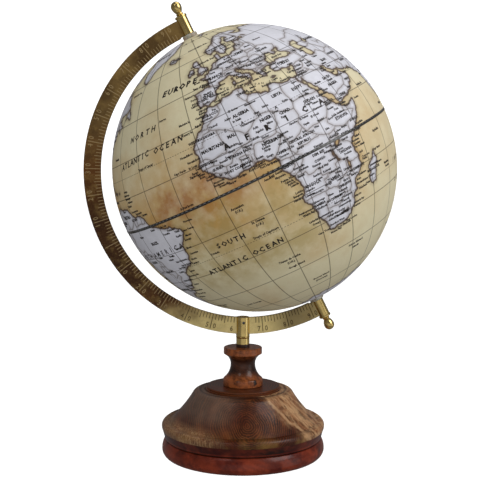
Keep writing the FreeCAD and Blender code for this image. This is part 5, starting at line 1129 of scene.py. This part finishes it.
class GlobeSizes(bpy.types.PropertyGroup):
    """Sizes that a user would change, in metres or degrees"""
    shell_wall: size("Shell wall", "Thickness of the globe's card shell", 0.0016, 0.0005, 0.004)
    engraving_depth: size("Engraving depth", "Depth of the degree scale in the arc", 0.00025, 0.00005, 0.001)
    engraving_width: size("Engraving width", "Width of the scale's fine lines", 0.00055, 0.0002, 0.001)
    scale_step: size("Scale step", "Turn along the arc between two numbered lines", 9.62, 5, 15, "NONE")
    tape_width: size("Tape width", "Height of the chequered strip on the equator", 0.0018, 0.001, 0.004)
    ring_columns: IntProperty(name="Round divisions", description="Divisions round a turned ring",
                              default=360, min=48, max=720)


class GlobeLooks(bpy.types.PropertyGroup):
    """Colours of the print, the metal and the wood"""
    sea: tone("Sea", (223, 213, 177), "Parchment of the open sea")
    sea_warm: tone("Warm sea", (194, 152, 86), "Browned belt and blotches of the sea")
    sea_olive: tone("Olive sea", (176, 153, 96), "Olive wash south of the equator")
    rust: tone("Rust", (158, 92, 40), "Rusty stains along the equator")
    sea_pale: tone("Pale sea", (236, 226, 194), "Faded parts of the sea")
    land: tone("Land", (222, 222, 231), "Open land")
    land_grey: tone("Land shade", (192, 192, 198), "Mottling of the land")
    shore: tone("Shore", (112, 92, 76), "Burnt shading inside a coast")
    burnt: tone("Coast line", (66, 42, 24), "Burnt edge of the land")
    border: tone("Border", (98, 86, 78), "Lines between countries")
    grid: tone("Grid", (48, 38, 30), "Meridians and parallels")
    ink: tone("Ink", (38, 32, 30), "Lettering")
    card: tone("Card", (150, 124, 92), "Inside of the shell")
    tape_black: tone("Strip", (22, 18, 16), "Dark blocks of the equator strip")
    tape_pale: tone("Strip pale", (184, 184, 182), "Pale blocks of the equator strip")
    brass_bright: tone("Brass", (226, 198, 128), "Polished brass")
    brass_olive: tone("Olive brass", (146, 120, 70), "Tarnished brass")
    brass_dark: tone("Dark brass", (56, 30, 10), "Brass in hollows")
    brass_sheen: tone("Rubbed brass", (176, 146, 84), "Rubbed spots of the arc")
    brass_patina: tone("Patina", (108, 66, 24), "Brown patina of the arc")
    # worn brass, also standing in for a painted reflection at the arc's foot
    brass_worn_and_reflection: tone("Worn brass", (234, 212, 146), "Yellow worn foot of the arc")
    groove_pale: tone("Pale scale", (198, 170, 118), "Scale marks against the patina")
    groove_dark: tone("Dark scale", (62, 43, 18), "Scale marks against worn brass")
    steel: tone("Steel", (176, 176, 172), "Plated steel")
    steel_dark: tone("Dull steel", (128, 128, 126), "Dull patches of the steel")
    # blackened steel, also standing in for painted shade in the screw's hole
    screw: tone("Set screw", (84, 76, 66), "Blackened steel of the clip's set screw")
    dome: tone("Dome", (92, 34, 13), "Brown dome")
    dome_light: tone("Dome light", (132, 74, 38), "Lighter wood of the dome")
    # pale sapwood, which on the dome's right side also carries painted light
    dome_pale: tone("Dome sap", (218, 174, 128), "Pale sapwood at the dome's side")
    dome_dark: tone("Dome dark", (34, 15, 7), "Dark growth lines of the dome")
    dome_edge: tone("Dome edge", (122, 92, 46), "Olive wood at the dome's lower edge")
    # painted highlight: grey sheen on the dome's upper left shoulder
    dome_sheen_grey: tone("Dome grey", (122, 104, 92), "Greyed shoulder of the dome")
    plinth: tone("Plinth", (80, 15, 7), "Red plinth")
    plinth_light: tone("Plinth light", (136, 54, 30), "Orange blotches of the plinth")
    plinth_dark: tone("Plinth dark", (34, 6, 4), "Maroon grain of the plinth")
    spool: tone("Spool", (82, 32, 14), "Red-brown spool")
    spool_light: tone("Spool light", (152, 84, 44), "Orange rims of the spool")
    disc: tone("Disc", (60, 32, 18), "Purplish brown disc")
    burnt_black: tone("Burnt wood", (20, 11, 9), "Black patches and knots")
    bush: tone("Bush", (186, 178, 164), "Pale plastic of the pole bushes")
    bush_shade: tone("Bush shade", (134, 120, 104), "Shade of the pole bushes")
    felt: tone("Felt", (40, 58, 44), "Felt under the base")
    felt_light: tone("Felt light", (62, 84, 66), "Fibres of the felt")
    floor: tone("Floor", (250, 250, 250), "Studio floor")


# ---------------------------------------------------------------- operators

class GLOBE_OT_shells(bpy.types.Operator):
    """Makes the two printed halves of the globe with their map"""
    bl_idname = "globe.shells"
    bl_label = "Globe shells"

    def execute(self, context):
        chart = Chart()
        finish = map_print(context.scene.globe_looks)
        for name, up in (("north_shell", 1), ("south_shell", -1)):
            shell = globe_shell(name, up, chart, context.scene.globe_sizes)
            paint(finish, shell)
            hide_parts(name.replace("shell", "hemisphere"))
            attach(shell, "globe")
        return {"FINISHED"}


class GLOBE_OT_lettering(bpy.types.Operator):
    """Makes the plain place names of the map"""
    bl_idname = "globe.lettering"
    bl_label = "Lettering"

    def execute(self, context):
        finish = ink(context.scene.globe_looks)
        for name, south in (("north_names", False), ("south_names", True)):
            words = lettering(name, south)
            paint(finish, words)
            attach(words, "globe")
        return {"FINISHED"}


class GLOBE_OT_equator(bpy.types.Operator):
    """Makes the chequered equator strip and finishes the joint band and the pole bushes"""
    bl_idname = "globe.equator"
    bl_label = "Equator and poles"

    def execute(self, context):
        looks, sizes = context.scene.globe_looks, context.scene.globe_sizes
        half, inner, outer = sizes.tape_width / MM / 2, EQUATOR_MM + 0.01, EQUATOR_MM + 0.21
        chamfer = 0.05
        profile = [(inner, -half), (outer - chamfer, -half), (outer, -half + chamfer), (outer, 0),
                   (outer, half - chamfer), (outer - chamfer, half), (inner, half)]
        strip = ring("equator_strip", profile, sizes.ring_columns, GLOBE_PLACE)
        paint(tape_print(looks), strip)
        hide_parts("equator_tape")
        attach(strip, "globe")
        paint(plain("band_plastic", looks.bush, looks.bush_shade, 8, 0.5), "equator_band")
        bush = plain("bush_plastic", looks.bush, looks.bush_shade, 3, 0.3, Subsurface_Weight=0.15)
        paint(bush, "upper_pole_bush", "lower_pole_bush")
        return {"FINISHED"}


class GLOBE_OT_arc(bpy.types.Operator):
    """Makes the brass arc with its engraved degree scale"""
    bl_idname = "globe.arc"
    bl_label = "Engraved arc"

    def execute(self, context):
        arc = engraved_arc(context.scene.globe_sizes)
        paint(arc_brass(context.scene.globe_looks), arc)
        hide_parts("meridian_arc")
        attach(arc, "stand")
        return {"FINISHED"}


class GLOBE_OT_metal(bpy.types.Operator):
    """Finishes the turned brass and the steel fixings"""
    bl_idname = "globe.metal"
    bl_label = "Brass and steel"

    def execute(self, context):
        looks = context.scene.globe_looks
        paint(brass(looks), "stem_post", "stem_collar", "arc_clip", "upper_end_sleeve", "lower_end_sleeve",
              "upper_finial", "lower_finial")
        paint(steel(looks), "plinth_screws", "tie_rod", "tie_washer", "tie_nut", "axis_rod")
        # the set screw is dark: partly blackened steel, partly painted shade of the hole it sits in
        paint(steel(looks, "screw_steel", "screw_steel", looks.screw), "clip_screw")
        # the stem's foot ring is near-black: partly dark tarnished metal, partly painted shade and reflection
        # where the stem meets the spool
        paint(plain("dark_ring", looks.burnt_black, looks.disc, 3, 0.35, Coat_Weight=0.3), "stem_ring")
        return {"FINISHED"}


class GLOBE_OT_wood(bpy.types.Operator):
    """Finishes the turned wood and the felt"""
    bl_idname = "globe.wood"
    bl_label = "Wood and felt"

    def execute(self, context):
        looks = context.scene.globe_looks
        # name, tones, heart, ring spacing in mm, gloss, coat, ring and fibre strength, marks, node
        woods = [("plinth_wood", ("plinth_dark", "plinth", "plinth_light"), (40, 60), 4.0, 0.26, 0.18, 0.25,
                  0.15, plinth_marks, "base_plinth"),
                 ("dome_wood", ("dome_dark", "dome", "dome_light"), (-2.3, 33), 1.35, 0.34, 0.12, 0.95, 0.6,
                  dome_marks, "base_dome"),
                 ("disc_wood", ("dome_dark", "disc", "spool"), (-30, 20), 2.4, 0.32, 0.25, 0.4, 0.1,
                  disc_marks, "base_cap_disc"),
                 ("spool_wood", ("burnt_black", "spool", "spool_light"), (-20, 40), 2.0, 0.26, 0.28, 0.5, 0.5,
                  spool_marks, "neck_spool")]
        for *recipe, node in woods:
            paint(wood(looks, *recipe), node)
        paint(plain("felt", looks.felt, looks.felt_light, 2, 0.85, 0.3), "felt_pad")
        return {"FINISHED"}


class GLOBE_OT_stage(bpy.types.Operator):
    """Makes the pale floor, the soft studio light and the camera"""
    bl_idname = "globe.stage"
    bl_label = "Stage"

    def execute(self, context):
        looks = context.scene.globe_looks
        corners, reach_m = 64, 6
        turns = [2 * math.pi * k / corners for k in range(corners)]
        edge = [(reach_m * math.cos(a), reach_m * math.sin(a), 0.0) for a in turns]
        floor = piece_from("studio_floor", edge, [range(corners)])
        f = Finish("studio_floor", Roughness=0.9, Alpha=0.14)
        f.feed(Base_Color=f.mix(f.noise(400, 2) * 0.06, looks.floor, srgb(236, 236, 236)))
        paint(f, floor)

        world = bpy.data.worlds.new("studio")
        context.scene.world = world
        room = Graph(world)
        seen = room.node("LightPath", out="Is Camera Ray")
        level = room.node("Mix", None, {0: seen, 2: SKY_LIGHT, 3: BACKDROP_LIGHT})
        sky = room.node("Background", None, {"Color": (1, 1, 1, 1), "Strength": level})
        room.node("OutputWorld", None, {"Surface": sky})
        target = Vector((0.0, 0.0, 0.17))
        # name, place, width, height, power, and whether gloss shows it
        lights = [("key", (0.95, -0.75, 0.95), 0.8, 0.9, 9.5, True),
                  ("top", (0.25, 0.0, 1.4), 0.9, 0.9, 4.5, True),
                  ("left", (-1.2, -0.9, 0.7), 0.7, 0.8, 3.6, False),
                  ("front", (-0.1, -1.6, 0.15), 1.4, 0.5, 4.8, False),
                  ("window", (-0.75, -1.0, 1.15), 0.45, 0.35, 1.3, True),
                  ("table", (0.0, -0.62, 0.015), 0.9, 0.34, 0.35, True),
                  ("side", (0.7, -0.4, 0.02), 0.4, 0.4, 0.5, True),
                  ("back", (-0.5, 1.3, 1.3), 0.9, 0.7, 5.0, False)]
        for name, place, wide, tall, power, gloss in lights:
            data = bpy.data.lights.new(name, "AREA")
            data.shape, data.size, data.size_y, data.energy = "RECTANGLE", wide, tall, power
            lamp = bpy.data.objects.new(name, data)
            context.scene.collection.objects.link(lamp)
            lamp.location = place
            lamp.visible_camera, lamp.visible_glossy = False, gloss
            lamp.rotation_euler = (target - lamp.location).to_track_quat("-Z", "Y").to_euler()

        data = bpy.data.cameras.new("camera")
        data.lens, data.sensor_width = 72.0, 36.0
        data.clip_start, data.clip_end = 0.05, 50.0
        camera = bpy.data.objects.new("camera", data)
        context.scene.collection.objects.link(camera)
        yaw, pitch, roll = (math.radians(turn) for turn in CAMERA_TURN)
        ahead = Vector((math.sin(yaw) * math.cos(pitch), math.cos(yaw) * math.cos(pitch), math.sin(pitch)))
        aim = ahead.to_track_quat("-Z", "Y").to_matrix().to_4x4() @ Matrix.Rotation(-roll, 4, "Z")
        camera.matrix_world = Matrix.Translation(CAMERA_PLACE) @ aim
        context.scene.camera = camera
        context.scene.view_settings.view_transform = "Standard"
        return {"FINISHED"}


class GLOBE_PT_panel(bpy.types.Panel):
    """Lists the globe's pieces, sizes and colours"""
    bl_idname = "GLOBE_PT_panel"
    bl_label = "Desktop globe"
    bl_space_type = "VIEW_3D"
    bl_region_type = "UI"
    bl_category = "Globe"

    def draw(self, context):
        for operator in OPERATORS:
            self.layout.operator(operator.bl_idname)
        for group in (context.scene.globe_sizes, context.scene.globe_looks):
            box = self.layout.box()
            for key in group.bl_rna.properties.keys():
                if key not in ("rna_type", "name"):
                    box.prop(group, key)


OPERATORS = (GLOBE_OT_shells, GLOBE_OT_lettering, GLOBE_OT_equator, GLOBE_OT_arc, GLOBE_OT_metal,
             GLOBE_OT_wood, GLOBE_OT_stage)
CLASSES = (GlobeSizes, GlobeLooks, *OPERATORS, GLOBE_PT_panel)


def register():
    for cls in CLASSES:
        bpy.utils.register_class(cls)
    bpy.types.Scene.globe_sizes = PointerProperty(type=GlobeSizes)
    bpy.types.Scene.globe_looks = PointerProperty(type=GlobeLooks)


def unregister():
    del bpy.types.Scene.globe_sizes, bpy.types.Scene.globe_looks
    for cls in reversed(CLASSES):
        bpy.utils.unregister_class(cls)


def main():
    register()
    bpy.ops.globe.shells()
    bpy.ops.globe.lettering()
    bpy.ops.globe.equator()
    bpy.ops.globe.arc()
    bpy.ops.globe.metal()
    bpy.ops.globe.wood()
    bpy.ops.globe.stage()


if __name__ == "__main__":
    main()
